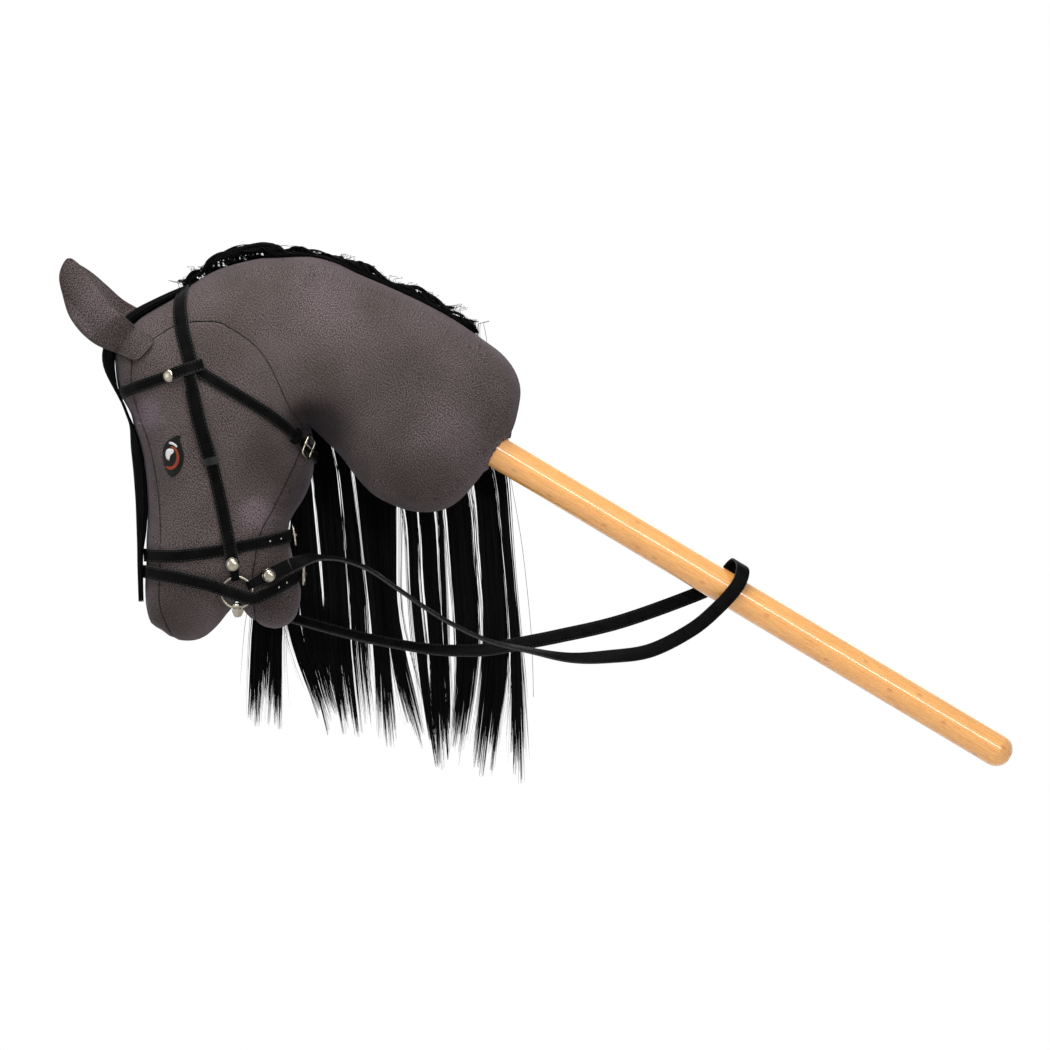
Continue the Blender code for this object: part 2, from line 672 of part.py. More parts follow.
def lay_taut_loop(name, ground, route, look, parent, width=STRAP_WIDTH):
    """A strap drawn tight round the muzzle and everything on it, along a route in side view."""
    route = np.array(route, float) * SCALE
    hull = []
    for x in np.arange(route[0][0] - width, route[-1][0] + width, 1.5):
        z = float(np.interp(x, route[:, 0], route[:, 1]))
        across = np.linspace(-0.6, 0.6, 9) * width
        reach = max(ground.side_height(x, z + off, side) for off in across for side in (NEAR, FAR))
        if reach > 0:
            hull += [(x, -reach), (x, reach)]
    hull = np.array(hull)
    loop = hull[[int(i) for i in convex_hull_2d([Vector(p) for p in hull])]]
    loop = even_points_straight(loop, STRAP_STEP)
    along = np.roll(loop, -1, axis=0) - np.roll(loop, 1, axis=0)
    turn = np.sign(np.sum(loop[:, 0] * np.roll(loop[:, 1], -1) - np.roll(loop[:, 0], -1) * loop[:, 1]))
    outward = np.stack([along[:, 1], -along[:, 0]], axis=1) * turn
    outward /= np.linalg.norm(outward, axis=1, keepdims=True)
    loop = loop + outward * (STRAP_GAP + 2 * GAP)
    heights = np.interp(loop[:, 0], route[:, 0], route[:, 1])
    inner = np.stack([loop[:, 0], loop[:, 1], heights], axis=1)
    along = np.roll(inner, -1, axis=0) - np.roll(inner, 1, axis=0)
    along /= np.linalg.norm(along, axis=1, keepdims=True)
    across = np.cross(along, np.stack([outward[:, 0], outward[:, 1], 0 * heights], axis=1))
    across /= np.linalg.norm(across, axis=1, keepdims=True)
    out = np.cross(across, along)
    points, faces = band(inner, across, out, width, STRAP_THICKNESS, True)
    faces = facing_out(points, faces)
    ground.add(points, faces)
    made = add_object(name, mesh_from(name, points, faces), look, parent)
    made.data.set_sharp_from_angle(angle=math.radians(30))
    return made, {"inner": inner, "along": along, "across": across, "out": out}


def even_points_straight(loop, step):
    """Evenly spaced points along a closed outline of straight runs."""
    closed = np.vstack([loop, loop[:1]])
    along = np.concatenate([[0], np.cumsum(np.linalg.norm(np.diff(closed, axis=0), axis=1))])
    wanted = np.linspace(0, along[-1], round(along[-1] / step) + 1)[:-1]
    return np.stack([np.interp(wanted, along, closed[:, k]) for k in range(2)], axis=1)


def strap_seat(sections, place, side):
    """The outer face of a strap nearest a side-view place: a point and a rotation with Z out and X along."""
    inner = sections["inner"]
    sided = np.where(np.sign(inner[:, 1]) == side, 0, 1000)
    away = np.linalg.norm(inner[:, (0, 2)] - np.array(place) * SCALE, axis=1) + sided
    i = int(np.argmin(away))
    along, across, out = (Vector(sections[k][i]) for k in ("along", "across", "out"))
    turn = Matrix((along, out.cross(along), out)).transposed().to_4x4()
    return Vector(inner[i] + sections["out"][i] * STRAP_THICKNESS), turn


def seat_above(ground, point, turn, half_x, half_y):
    """The point raised along the turn's Z until a flat piece of that size clears everything laid so far."""
    out = turn.to_3x3() @ Vector((0, 0, 1))
    reach = 30.0
    high = 0.0
    for a in np.linspace(-1, 1, 7):
        for b in np.linspace(-1, 1, 7):
            start = point + turn.to_3x3() @ Vector((a * half_x, b * half_y, reach))
            hit = ground.tree.ray_cast(start, -out, 2 * reach)
            if hit[0]:
                high = max(high, reach - hit[3])
    return point + out * high


def place_on(obj, point, turn):
    obj.location = point * MM
    obj.rotation_euler = turn.to_euler()


def make_stick(wood, cloth, cord, frame):
    radius = STICK_RADIUS
    tilt = (0, math.pi / 2 + STICK_SLOPE, 0)
    profile = [(0, -STICK_INSIDE), (radius - 1.5, -STICK_INSIDE), (radius, -STICK_INSIDE + 1.5)]
    flat = FOOT_FLAT / 2
    start = math.asin(flat / radius)
    centre = STICK_OUTSIDE - radius * math.cos(start)
    for k in range(7):
        angle = math.pi / 2 - (math.pi / 2 - start) * k / 6
        profile.append((radius * math.sin(angle), centre + radius * math.cos(angle)))
    profile.append((0, STICK_OUTSIDE))
    stick = add_object("stick", turned("stick", profile, STICK_SIDES), wood, frame)
    stick.rotation_euler = tilt
    bore = radius + GAP
    outer = bore + SLEEVE_WALL
    end = -STICK_INSIDE - GAP
    profile = [(0, end), (bore, end), (bore, -SLEEVE_START), (outer, -SLEEVE_START)]
    profile += [(outer, end - SLEEVE_WALL), (0, end - SLEEVE_WALL)]
    sleeve = add_object("stick_sleeve", turned("stick_sleeve", profile, STICK_SIDES), cloth, frame)
    sleeve.rotation_euler = tilt
    cord_radius = TIE_DIAMETER / 2
    ring = [
        (outer + GAP + cord_radius * (1 + math.cos(a)), -TIE_INSIDE + cord_radius * math.sin(a))
        for a in (math.tau * k / 8 for k in range(8))
    ]
    tie = add_object("neck_tie_cord", turned("neck_tie_cord", ring, STICK_SIDES), cord, frame)
    tie.rotation_euler = tilt


def make_body(form, cloth, filling, frame):
    sleeve_outer = STICK_RADIUS + GAP + SLEEVE_WALL
    hole = cutter("stick_hole", STICK_RADIUS + GAP, -SLEEVE_START + 1, 30, frame)
    bore = cutter("sleeve_bore", sleeve_outer + GAP, -STICK_INSIDE - 2 * GAP - SLEEVE_WALL, 30, frame)
    tie_outer = sleeve_outer + 2 * GAP + TIE_DIAMETER
    tie_room = cutter("tie_room", tie_outer, -TIE_INSIDE - TIE_DIAMETER, 30, frame)
    for side, word in ((NEAR, "left"), (FAR, "right")):
        neck = form.panel(f"neck_cover_{word}", ["neck"], (side,), cloth, frame)
        boolean(neck, hole)
        form.panel(f"head_cover_{word}", ["cheek"], (side,), cloth, frame)
    form.panel("face_gusset", ["face"], (NEAR, FAR), cloth, frame)
    form.panel("jaw_gusset", ["jaw"], (NEAR, FAR), cloth, frame)
    neck = form.stuffing("neck_stuffing", ["neck"], filling, frame)
    boolean(neck, bore)
    boolean(neck, tie_room)
    form.stuffing("head_stuffing", ["face", "cheek", "jaw"], filling, frame)


def sheet_solid(name, edge, height, thickness, look, parent, ground=None, grid=7.0):
    """A thin sewn piece with the given side-view edge; height(x, z) gives its inner face's y."""
    rim = curve_points(np.array(edge) * SCALE, grid, closed=True)
    closed_rim = np.vstack([rim, rim[:1]])
    low, high = rim.min(axis=0), rim.max(axis=0)
    inside = []
    for x in np.arange(low[0], high[0], grid):
        for z in np.arange(low[1], high[1], grid):
            inside.append((x, z))
    inside = np.array(inside)
    kept = inside[(distance_to(inside, closed_rim) > 0.5 * grid) & inside_loop(inside, rim)]
    points = [Vector(p) for p in rim] + [Vector(p) for p in kept]
    found, _, faces, _, _, _ = delaunay_2d_cdt(points, [], [list(range(len(rim)))], 1, 1e-6, True)
    faces = np.array(faces)
    centres = np.array([(p.x, p.y) for p in found])[faces].mean(axis=1)
    faces = faces[inside_loop(centres, rim)]
    used = sorted({int(i) for f in faces for i in f})
    number = {old: new for new, old in enumerate(used)}
    faces = np.array([[number[int(i)] for i in f] for f in faces])
    side = NEAR if height(*rim[0]) < 0 else FAR
    inner = np.array([(found[i].x, height(found[i].x, found[i].y), found[i].y) for i in used])
    outer = inner + np.array((0, side * thickness, 0))
    count = len(inner)
    rim_faces = [(a, b, b + count, a + count) for a, b in border_edges(faces)]
    everything = [tuple(f[::-1]) for f in faces] + [tuple(f + count) for f in faces] + rim_faces
    points = np.vstack([inner, outer])
    everything = facing_out(points, everything)
    if ground:
        ground.add(points, everything)
    return add_object(name, mesh_from(name, points, everything), look, parent)


def make_ears(ground, cloth, frame):
    """Cupped leaves, sewn into the seam at the poll, standing off the head's sides."""
    base = np.array(EAR_BASE) * SCALE
    tip = np.array(EAR_EDGE[0]) * SCALE
    along = (tip - base) / np.linalg.norm(tip - base)
    for side, word in ((NEAR, "left"), (FAR, "right")):
        def height(x, z, side=side):
            off = np.array((x, z)) - base
            across = abs(off @ np.array((-along[1], along[0])))
            cup = EAR_CAMBER * SCALE * max(0.0, 1 - (across / (EAR_HALF_WIDTH * SCALE)) ** 2)
            free = min(max(off @ along / (EAR_ROOT * SCALE), 0.0), 1.0)
            body = ground.highest_near(x, z, side, FABRIC)
            return side * max((EAR_STANDOFF * SCALE + cup) * free, body + STRAP_GAP)
        sheet_solid(f"ear_{word}", EAR_EDGE, height, 2 * FABRIC, cloth, frame, ground, grid=9.0)


def make_eyes(ground, thread, frame):
    for side, word in ((NEAR, "left"), (FAR, "right")):
        def height(x, z, side=side):
            return side * (ground.highest_near(x, z, side, FABRIC) + GAP)
        sheet_solid(f"eye_{word}", EYE_EDGE, height, EYE_THICKNESS, thread, frame)


def tube_mesh(name, sections, sides=6):
    """A closed lofted tube from sections (centre, first axis, second axis)."""
    points, faces = [], []
    for centre, first, second in sections:
        for k in range(sides):
            angle = math.tau * k / sides
            points.append(centre + first * math.cos(angle) + second * math.sin(angle))
    for i in range(len(sections) - 1):
        for k in range(sides):
            n = (k + 1) % sides
            faces.append((i * sides + k, i * sides + n, (i + 1) * sides + n, (i + 1) * sides + k))
    last = (len(sections) - 1) * sides
    faces += [tuple(range(sides - 1, -1, -1)), tuple(range(last, last + sides))]
    faces = facing_out(points, faces)
    return points, faces, mesh_from(name, points, faces)


def make_forelock(ground, hair, frame):
    sections = []
    route = curve_points(np.array(FORELOCK, float), 12.0)
    for i, (x, z, deep, wide) in enumerate(route):
        ahead, behind = route[min(i + 1, len(route) - 1)], route[max(i - 1, 0)]
        along = np.array((ahead[0] - behind[0], 0, ahead[1] - behind[1]))
        along /= np.linalg.norm(along)
        facing = np.cross(along, (0, 1, 0))
        centre = np.array((x * SCALE, FORELOCK_Y, z * SCALE))
        sections.append((centre, facing * deep * SCALE, np.array((0, wide, 0.0))))
    points, faces, mesh = tube_mesh("forelock", sections, 8)
    ground.add(points, faces)
    add_object("forelock", mesh, hair, frame)


def make_mane(ground, hair, frame):
    """The crest braid, and locks that fall over the far side of the neck and then hang plumb."""
    crest = even_points(np.array(CREST) * SCALE, 6.0)
    sections = []
    for i, (x, z) in enumerate(crest):
        ahead, behind = crest[min(i + 1, len(crest) - 1)], crest[max(i - 1, 0)]
        along = np.array((ahead[0] - behind[0], 0, ahead[1] - behind[1]))
        along /= np.linalg.norm(along)
        facing = np.cross((0, 1, 0), along)
        facing *= np.sign(facing[2])
        share = i / (len(crest) - 1)
        size = BRAID_RADIUS * (1 - 0.45 * share) * (0.85 + 0.15 * math.cos(i * BRAID_WAVE))
        size *= min(1, 0.35 + 1.2 * math.sin(math.pi * min(share + 0.05, 1)))
        centre = np.array((x, 0, z)) + facing * (size + 2.5 * GAP)
        sections.append((centre, facing * size, np.array((0, size, 0.0))))
    add_object("crest_braid", tube_mesh("crest_braid", sections, 8)[2], hair, frame)
    stops = [(x * SCALE, (z - WEFT_DROP) * SCALE, FAR) for x, z in CREST]
    lay_strap("mane_weft", ground, stops, hair, frame, WEFT_WIDTH)
    pitch = (crest[-1][0] - crest[0][0]) / MANE_LOCKS
    for n in range(MANE_LOCKS):
        make_lock(n, crest, crest[0][0] + pitch * (n + 0.5), pitch, ground, hair, frame)


def make_lock(number, crest, x_top, pitch, ground, hair, frame):
    """One lock: it starts on the weft, follows the neck's side down and hangs plumb from its widest place."""
    share = (number + 0.5) / MANE_LOCKS
    x_tip = x_top + MANE_SWEEP * SCALE
    top = float(np.interp(x_top, crest[:, 0], crest[:, 1])) - (WEFT_DROP - 3) * SCALE
    uneven = MANE_TIP_UNEVEN * math.cos(2.4 * number)
    low = (uneven - MANE_TIP_FRONT - (MANE_TIP_BACK - MANE_TIP_FRONT) * share) * SCALE
    on_crest = np.linspace(top, top - MANE_CREST_FOLD * SCALE, 6)
    on_neck = top - np.linspace(*MANE_ON_NECK, 8) * SCALE
    free = np.linspace(top - MANE_FREE_FROM * SCALE, low, 7)
    heights = np.concatenate([on_crest, on_neck, free])
    flat = math.cos(math.pi / LOCK_SIDES)
    sections = []
    reach = 0.0
    for z in heights:
        down = (top - z) / (top - low)
        x = x_top + (x_tip - x_top) * down ** MANE_SWEEP_CURVE
        taper = 1 - 0.75 * max(0, down - MANE_TAPER_FROM) / (1 - MANE_TAPER_FROM)
        width = pitch * LOCK_FILL / 2 * taper
        thin = MANE_THICKNESS / 2 * taper
        for dx in (-1, -0.5, 0, 0.5, 1):
            edge = thin * flat if abs(dx) == 1 else 0
            for dz in (-3, 0, 3):
                reach = max(reach, ground.side_height(x + dx * width, z + dz, FAR) - edge)
        centre = np.array((x, reach + thin * flat + STRAP_GAP, z))
        sections.append((centre, np.array((width, 0, 0.0)), np.array((0, thin, 0.0))))
    name = f"mane_lock_{number + 1:02d}"
    add_object(name, tube_mesh(name, sections, LOCK_SIDES)[2], hair, frame)


def mirrored(stops):
    return [(x, z, FAR) for x, z in stops]


def near_side(stops):
    return [(x, z, NEAR) for x, z in stops]


def scaled(stops):
    return [(x * SCALE, z * SCALE, side) for x, z, side in stops]


def there_and_back(near, middle):
    """Stops from the near side over one ridge point to the far side."""
    return scaled(near_side(near) + [(*middle, RIDGE)] + mirrored(near[::-1]))


def stud(name, point, turn, metal, frame, diameter=STUD_DIAMETER):
    radius = diameter / 2
    profile = [(0, 0.1), (radius, 0.1), (radius, 0.9)]
    for k in range(1, 5):
        angle = math.pi / 2 * k / 5
        profile.append((radius * math.cos(angle), 0.9 + (STUD_HEIGHT - 0.9) * math.sin(angle)))
    profile.append((0, STUD_HEIGHT))
    made = add_object(name, turned(name, [(r, z + GAP) for r, z in profile], 16), metal, frame)
    place_on(made, point, turn)
    return made


def buckle(name, ground, sections, place, metal, frame):
    """A wire frame on a strap, with a tongue that turns on the bar across its near end."""
    point, turn = strap_seat(sections, place, NEAR)
    long_side, wide_side = BUCKLE_SIZE[0] / 2, BUCKLE_SIZE[1] / 2
    wire = BUCKLE_WIRE / 2
    point = seat_above(ground, point, turn, long_side + 2 * wire, wide_side + wire)
    lift = EYE_OUTER + GAP / 3
    mesh = bpy.data.meshes.new(name)
    work = bmesh.new()
    track = []
    for k, (x, y) in enumerate([(1, 1), (-1, 1), (-1, -1), (1, -1)]):
        for step in range(4):
            angle = math.pi / 2 * (k + step / 3)
            across = y * (wide_side - BUCKLE_CORNER) + BUCKLE_CORNER * math.sin(angle)
            track.append((x * (long_side - BUCKLE_CORNER) + BUCKLE_CORNER * math.cos(angle), across))
    rings = []
    for i, (x, y) in enumerate(track):
        before, after = track[i - 1], track[(i + 1) % len(track)]
        along = Vector((after[0] - before[0], after[1] - before[1], 0)).normalized()
        side = along.cross(Vector((0, 0, 1)))
        ring = []
        for k in range(6):
            angle = math.tau * k / 6
            corner = Vector((x, y, lift + wire * math.sin(angle))) + side * wire * math.cos(angle)
            ring.append(work.verts.new(corner * MM))
        rings.append(ring)
    for ring, following in zip(rings, rings[1:] + rings[:1]):
        for k in range(6):
            n = (k + 1) % 6
            work.faces.new((ring[k], ring[n], following[n], following[k]))
    bmesh.ops.recalc_face_normals(work, faces=work.faces)
    work.to_mesh(mesh)
    work.free()
    made = add_object(name, mesh, metal, frame)
    place_on(made, point, turn)
    bar = turn @ Vector((-long_side, 0, lift))
    hinge = empty(name.replace("buckle", "tongue_pivot"), (0, 0, 0))
    hinge.parent = frame
    hinge.location = (point + bar) * MM
    hinge.rotation_euler = turn.to_euler()
    make_tongue(name.replace("buckle", "tongue"), metal, hinge, 2 * long_side)


def make_tongue(name, metal, hinge, reach):
    """An eye round the bar and a pin that lies on the far side of the frame."""
    wire = BUCKLE_WIRE / 2
    half = TONGUE_EYE_WIDTH / 2
    eye = [(EYE_INNER, -half), (EYE_OUTER, -half), (EYE_OUTER, half), (EYE_INNER, half)]
    made = add_object(name, turned(name, eye, 14), metal, hinge)
    made.rotation_euler = (math.pi / 2, 0, 0)
    pin = bpy.data.meshes.new(name + "_pin")
    work = bmesh.new()
    low, high = wire + GAP, wire + GAP + TONGUE_THICKNESS
    start, tip = EYE_INNER + 0.35, reach + 1.2
    box = [(start, low - 0.9), (tip, low), (tip, high), (start, high - 0.4)]
    front = [work.verts.new(Vector((x, z, -TONGUE_WIDTH / 2)) * MM) for x, z in box]
    back = [work.verts.new(Vector((x, z, TONGUE_WIDTH / 2)) * MM) for x, z in box]
    work.faces.new(front)
    work.faces.new(back[::-1])
    for k in range(4):
        n = (k + 1) % 4
        work.faces.new((front[n], front[k], back[k], back[n]))
    bmesh.ops.recalc_face_normals(work, faces=work.faces)
    work.to_mesh(pin)
    work.free()
    helper = bpy.data.objects.new(name + "_pin", pin)
    helper.parent = hinge
    helper.rotation_euler = (math.pi / 2, 0, 0)
    helper.hide_render = True
    helper.display_type = "WIRE"
    bpy.context.collection.objects.link(helper)
    boolean(made, helper, "UNION")


def ring_plane(ground):
    """How far out the bit rings stand: past everything that lies under them."""
    x0, z0 = (c * SCALE for c in BIT_RING)
    reach = [0.0]
    for k in range(24):
        angle = math.tau * k / 24
        for share in (0.9, 1.1):
            x = x0 + RING_RADIUS * share * math.cos(angle)
            z = z0 + RING_RADIUS * share * math.sin(angle)
            reach.append(ground.side_height(x, z, NEAR))
    return max(reach) + STRAP_GAP + LOOP_OUTER


def torus(name, major, minor, steps, sides):
    angles = [math.tau * k / sides for k in range(sides)]
    ring = [(major + minor * math.cos(a), minor * math.sin(a)) for a in angles]
    return turned(name, ring, steps)


def make_bit(ground, plane, metal, frame):
    """The mouthpiece through the mouth, with a flattened butt at each end that a loose ring runs through."""
    x0, ring_z = (c * SCALE for c in BIT_RING)
    ring_low = ring_z - RING_RADIUS
    z0 = ring_low - BIT_BELOW_RING
    radius = BIT_DIAMETER / 2
    inside = plane - BUTT_SIZE[1] / 2 + 1
    profile = [(0, -inside), (radius, -inside), (radius, inside), (0, inside)]
    bar = turned("bit_mouthpiece", profile, 12)
    made = add_object("bit_mouthpiece", bar, metal, frame, place=(x0, 0, z0))
    made.rotation_euler = (math.pi / 2, 0, 0)
    for side, word in ((NEAR, "left"), (FAR, "right")):
        mesh = bpy.data.meshes.new(f"butt_{word}")
        work = bmesh.new()
        bmesh.ops.create_cube(work, size=1)
        bmesh.ops.scale(work, vec=Vector(BUTT_SIZE) * MM, verts=work.verts)
        bevel = {"offset": BUTT_BEVEL * MM, "segments": 2, "affect": "EDGES", "profile": 0.5}
        bmesh.ops.bevel(work, geom=work.edges[:], **bevel)
        work.to_mesh(mesh)
        work.free()
        butt = helper_object(f"butt_{word}", mesh, frame, (x0, side * plane, z0 - BUTT_DROP))
        boolean(made, butt, "UNION")
    for side, word in ((NEAR, "left"), (FAR, "right")):
        bore = RING_WIRE / 2 + RING_CLEARANCE + BUTT_HOLE_ROOM
        through = BUTT_SIZE[0]
        eye = turned(f"eye_hole_{word}", [(0, -through), (bore, -through), (bore, through), (0, through)], 12)
        hole = helper_object(f"eye_hole_{word}", eye, frame, (x0, side * plane, ring_low + 0.4))
        hole.rotation_euler = (0, math.pi / 2, 0)
        boolean(made, hole)
        centre = (BIT_RING[0] * SCALE, side * plane, BIT_RING[1] * SCALE)
        pivot = empty(f"bit_ring_{word}_centre", (0, 0, 0))
        pivot.parent = frame
        pivot.location = Vector(centre) * MM
        ring = torus(f"bit_ring_{word}", RING_RADIUS, RING_WIRE / 2, 28, 6)
        made_ring = add_object(f"bit_ring_{word}", ring, metal, pivot)
        made_ring.rotation_euler = (math.pi / 2, 0, 0)


def helper_object(name, mesh, parent, place):
    made = bpy.data.objects.new(name, mesh)
    made.parent = parent
    made.location = Vector(place) * MM
    made.hide_render = True
    made.display_type = "WIRE"
    bpy.context.collection.objects.link(made)
    return made


def ring_loop(name, angle, side, plane, tail, look, frame):
    """A strap end folded round the ring's wire at an angle up from +X, with its tail's start and face."""
    centre = Vector((BIT_RING[0] * SCALE, side * plane, BIT_RING[1] * SCALE))
    radial = Vector((math.cos(angle), 0, math.sin(angle)))
    half = LOOP_WIDTH / 2
    wall = [(LOOP_INNER, -half), (LOOP_OUTER, -half), (LOOP_OUTER, half), (LOOP_INNER, half)]
    loop = turned(name, wall, 14)
    made = add_object(name, loop, look, frame, place=centre + radial * RING_RADIUS)
    tangent = Vector((0, 1, 0)).cross(radial)
    turn = Matrix((radial, tangent.cross(radial), tangent)).transposed()
    made.rotation_euler = turn.to_euler()
    start = centre + radial * (RING_RADIUS + LOOP_OUTER - 0.8)
    run = Vector(tail) - start
    along = run.normalized()
    across = tangent - along * tangent.dot(along)
    across.normalize()
    up = along.cross(across)
    corners = []
    for point, wide in ((start, LOOP_WIDTH - 0.4), (Vector(tail), STRAP_WIDTH)):
        for w, t in ((-0.5, -0.5), (0.5, -0.5), (0.5, 0.5), (-0.5, 0.5)):
            corners.append(point + across * w * wide + up * t * STRAP_THICKNESS)
    faces = [(0, 1, 2, 3), (7, 6, 5, 4), (0, 4, 5, 1), (1, 5, 6, 2), (2, 6, 7, 3), (3, 7, 4, 0)]
    faces = facing_out([np.array(c) for c in corners], faces)
    strip = helper_object(name + "_tail", mesh_from(name + "_tail", corners, faces), frame, (0, 0, 0))
    boolean(made, strip, "UNION")
    return start, up if up.y * side > 0 else -up


def clear_of_foot(cheek, end, side, plane):
    """The end of a cheek end's tail, moved out where the tail would cut the foot of the cheekpiece."""
    edge = cheek["inner"][-1] + cheek["out"][-1] * STRAP_THICKNESS
    loop_top = BIT_RING[1] * SCALE + RING_RADIUS + LOOP_OUTER - 0.8
    share = (edge[2] - loop_top) / (end[2] - loop_top)
    passing = plane + (end[1] * side - plane) * share
    short = edge[1] * side + STRAP_THICKNESS / 2 + TAIL_CLEARANCE - passing
    return np.array((end[0], end[1] + side * max(0.0, short) / share, end[2]))


def make_bridle(ground, leather, metal, frame):
    lay_strap("crownpiece", ground, there_and_back(CROWN[::-1], CROWN_TOP), leather, frame)
    noseband = near_side(NOSEBAND) + [(*NOSEBAND_FRONT, RIDGE)] + mirrored(NOSEBAND[::-1])
    noseband = scaled(noseband + [(*NOSEBAND_BACK, RIDGE)])
    _, nose = lay_strap("noseband", ground, noseband, leather, frame, closed=True)
    throat = there_and_back(THROATLATCH, THROATLATCH_UNDER)
    _, latch = lay_strap("throatlatch", ground, throat, leather, frame, NARROW_STRAP)
    cheeks = {}
    for side, word in ((NEAR, "left"), (FAR, "right")):
        foot = BIT_RING[1] * SCALE + RING_RADIUS + LOOP_OUTER + CHEEK_ABOVE_RING
        stops = [(x * SCALE, z * SCALE, side) for x, z in CHEEK] + [(CHEEK_FOOT * SCALE, foot, side)]
        _, cheeks[side] = lay_strap(f"cheekpiece_{word}", ground, stops, leather, frame)
    forehead = there_and_back(BROWBAND, BROWBAND_FRONT)
    _, brow = lay_strap("browband", ground, forehead, leather, frame, NARROW_STRAP)
    for side, word in ((NEAR, "left"), (FAR, "right")):
        point, turn = strap_seat(brow, BROW_STUD, side)
        point = seat_above(ground, point, turn, STUD_DIAMETER / 2.6, STUD_DIAMETER / 2.6)
        stud(f"browband_stud_{word}", point, turn, metal, frame)
    plane = ring_plane(ground)
    make_bit(ground, plane, metal, frame)
    for side, word in ((NEAR, "left"), (FAR, "right")):
        end = cheeks[side]["inner"][-2] + cheeks[side]["out"][-2] * (STRAP_THICKNESS * 2 + 4 * GAP)
        face = Vector((0, side, 0))
        end = clear_of_foot(cheeks[side], end, side, plane)
        ring_loop(f"cheek_end_{word}", CHEEK_ANGLE, side, plane, end, leather, frame)
        seat = Vector(end) + face * (STRAP_THICKNESS / 2 + GAP)
        turn = face.to_track_quat("Z", "Y").to_matrix().to_4x4()
        stud(f"cheek_stud_{word}", seat, turn, metal, frame)
        start, following = REIN_ROUTE[:2] if side == NEAR else REIN_ROUTE[:-3:-1]
        start = Vector(start)
        away = (Vector(following) - start).normalized()
        tail = start - away * 3 * GAP
        root, up = ring_loop(f"rein_end_{word}", REIN_ANGLE[side], side, plane, tail, leather, frame)
        seat = root.lerp(tail, REIN_STUD_SHARE) + up * (STRAP_THICKNESS / 2 + GAP)
        stud(f"rein_stud_{word}", seat, up.to_track_quat("Z", "Y").to_matrix().to_4x4(), metal, frame)
    ground.add(*ring_room(plane))
    _, flash = lay_taut_loop("flash_strap", ground, FLASH, leather, frame)
    buckle("throatlatch_buckle", ground, latch, THROAT_BUCKLE, metal, frame)
    buckle("noseband_buckle", ground, nose, NOSE_BUCKLE, metal, frame)
    buckle("flash_buckle", ground, flash, FLASH_BUCKLE, metal, frame)


def ring_room(plane):
    """The space of both bit rings and the loops on them, which the lower strap passes outside."""
    x0, z0 = (c * SCALE for c in BIT_RING)
    half = RING_RADIUS + RING_ROOM
    reach = plane + LOOP_OUTER + STRAP_GAP
    corners = [(x0 + a * half, b * reach, z0 + c * half) for a in (-1, 1) for b in (-1, 1) for c in (-1, 1)]
    faces = [(0, 1, 3, 2), (4, 6, 7, 5), (0, 4, 5, 1), (2, 3, 7, 6), (0, 2, 6, 4), (1, 5, 7, 3)]
    return corners, faces


def make_rein(leather, frame):
    route = even_points(np.array(REIN_ROUTE, float), REIN_DIAMETER * 2.5)
    data = bpy.data.curves.new("rein", "CURVE")
    data.dimensions = "3D"
    data.bevel_depth = REIN_DIAMETER / 2 * MM
    data.bevel_resolution = 2
    data.use_fill_caps = True
    spline = data.splines.new("POLY")
    spline.points.add(len(route) - 1)
    for stored, point in zip(spline.points, route):
        stored.co = (*(Vector(point) * MM), 1)
    data.materials.append(leather)
    made = bpy.data.objects.new("rein", data)
    made.parent = frame
    bpy.context.collection.objects.link(made)
    length = float(np.sum(np.linalg.norm(np.diff(route, axis=0), axis=1)))
    print(f"rein length {length:.0f} mm")


def main():
    clear_scene()
    cloth = material("grey_cloth", (0.075, 0.062, 0.060), 0.9)
    canvas = material("sleeve_canvas", (0.6, 0.57, 0.5), 0.9)
    filling = material("stuffing", (0.85, 0.84, 0.8), 1.0)
    wood = material("beech", (0.86, 0.5, 0.2), 0.35)
    cord = material("tie_cord", (0.7, 0.68, 0.6), 0.8)
    leather = material("black_leather", (0.012, 0.012, 0.012), 0.45)
    metal = material("nickel", (0.75, 0.72, 0.66), 0.25, 1.0)
    thread = material("eye_thread", (0.01, 0.01, 0.01), 0.5)
    hair = material("black_hair", (0.006, 0.006, 0.007), 0.4)
    frame = empty("neck_entry", ENTRY)
    make_stick(wood, canvas, cord, frame)
    form = StuffedForm()
    make_body(form, cloth, filling, frame)
    ground = Ground(form.outer, form.all_faces)
    make_eyes(ground, thread, frame)
    make_forelock(ground, hair, frame)
    make_bridle(ground, leather, metal, frame)
    make_ears(ground, cloth, frame)
    make_mane(ground, hair, frame)
    make_rein(leather, frame)
    bpy.context.view_layer.update()


main()
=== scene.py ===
"""Looks of the hobby horse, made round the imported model.

Shapes are worked out in millimetres in the pattern's own frame, whose origin is the point where
the stick enters the neck. The horse looks along -X and its left side faces -Y.
"""

import json
import math

import bmesh
import bpy
import numpy as np
from mathutils import Matrix, Vector, noise
from mathutils.bvhtree import BVHTree
from mathutils.geometry import convex_hull_2d, delaunay_2d_cdt


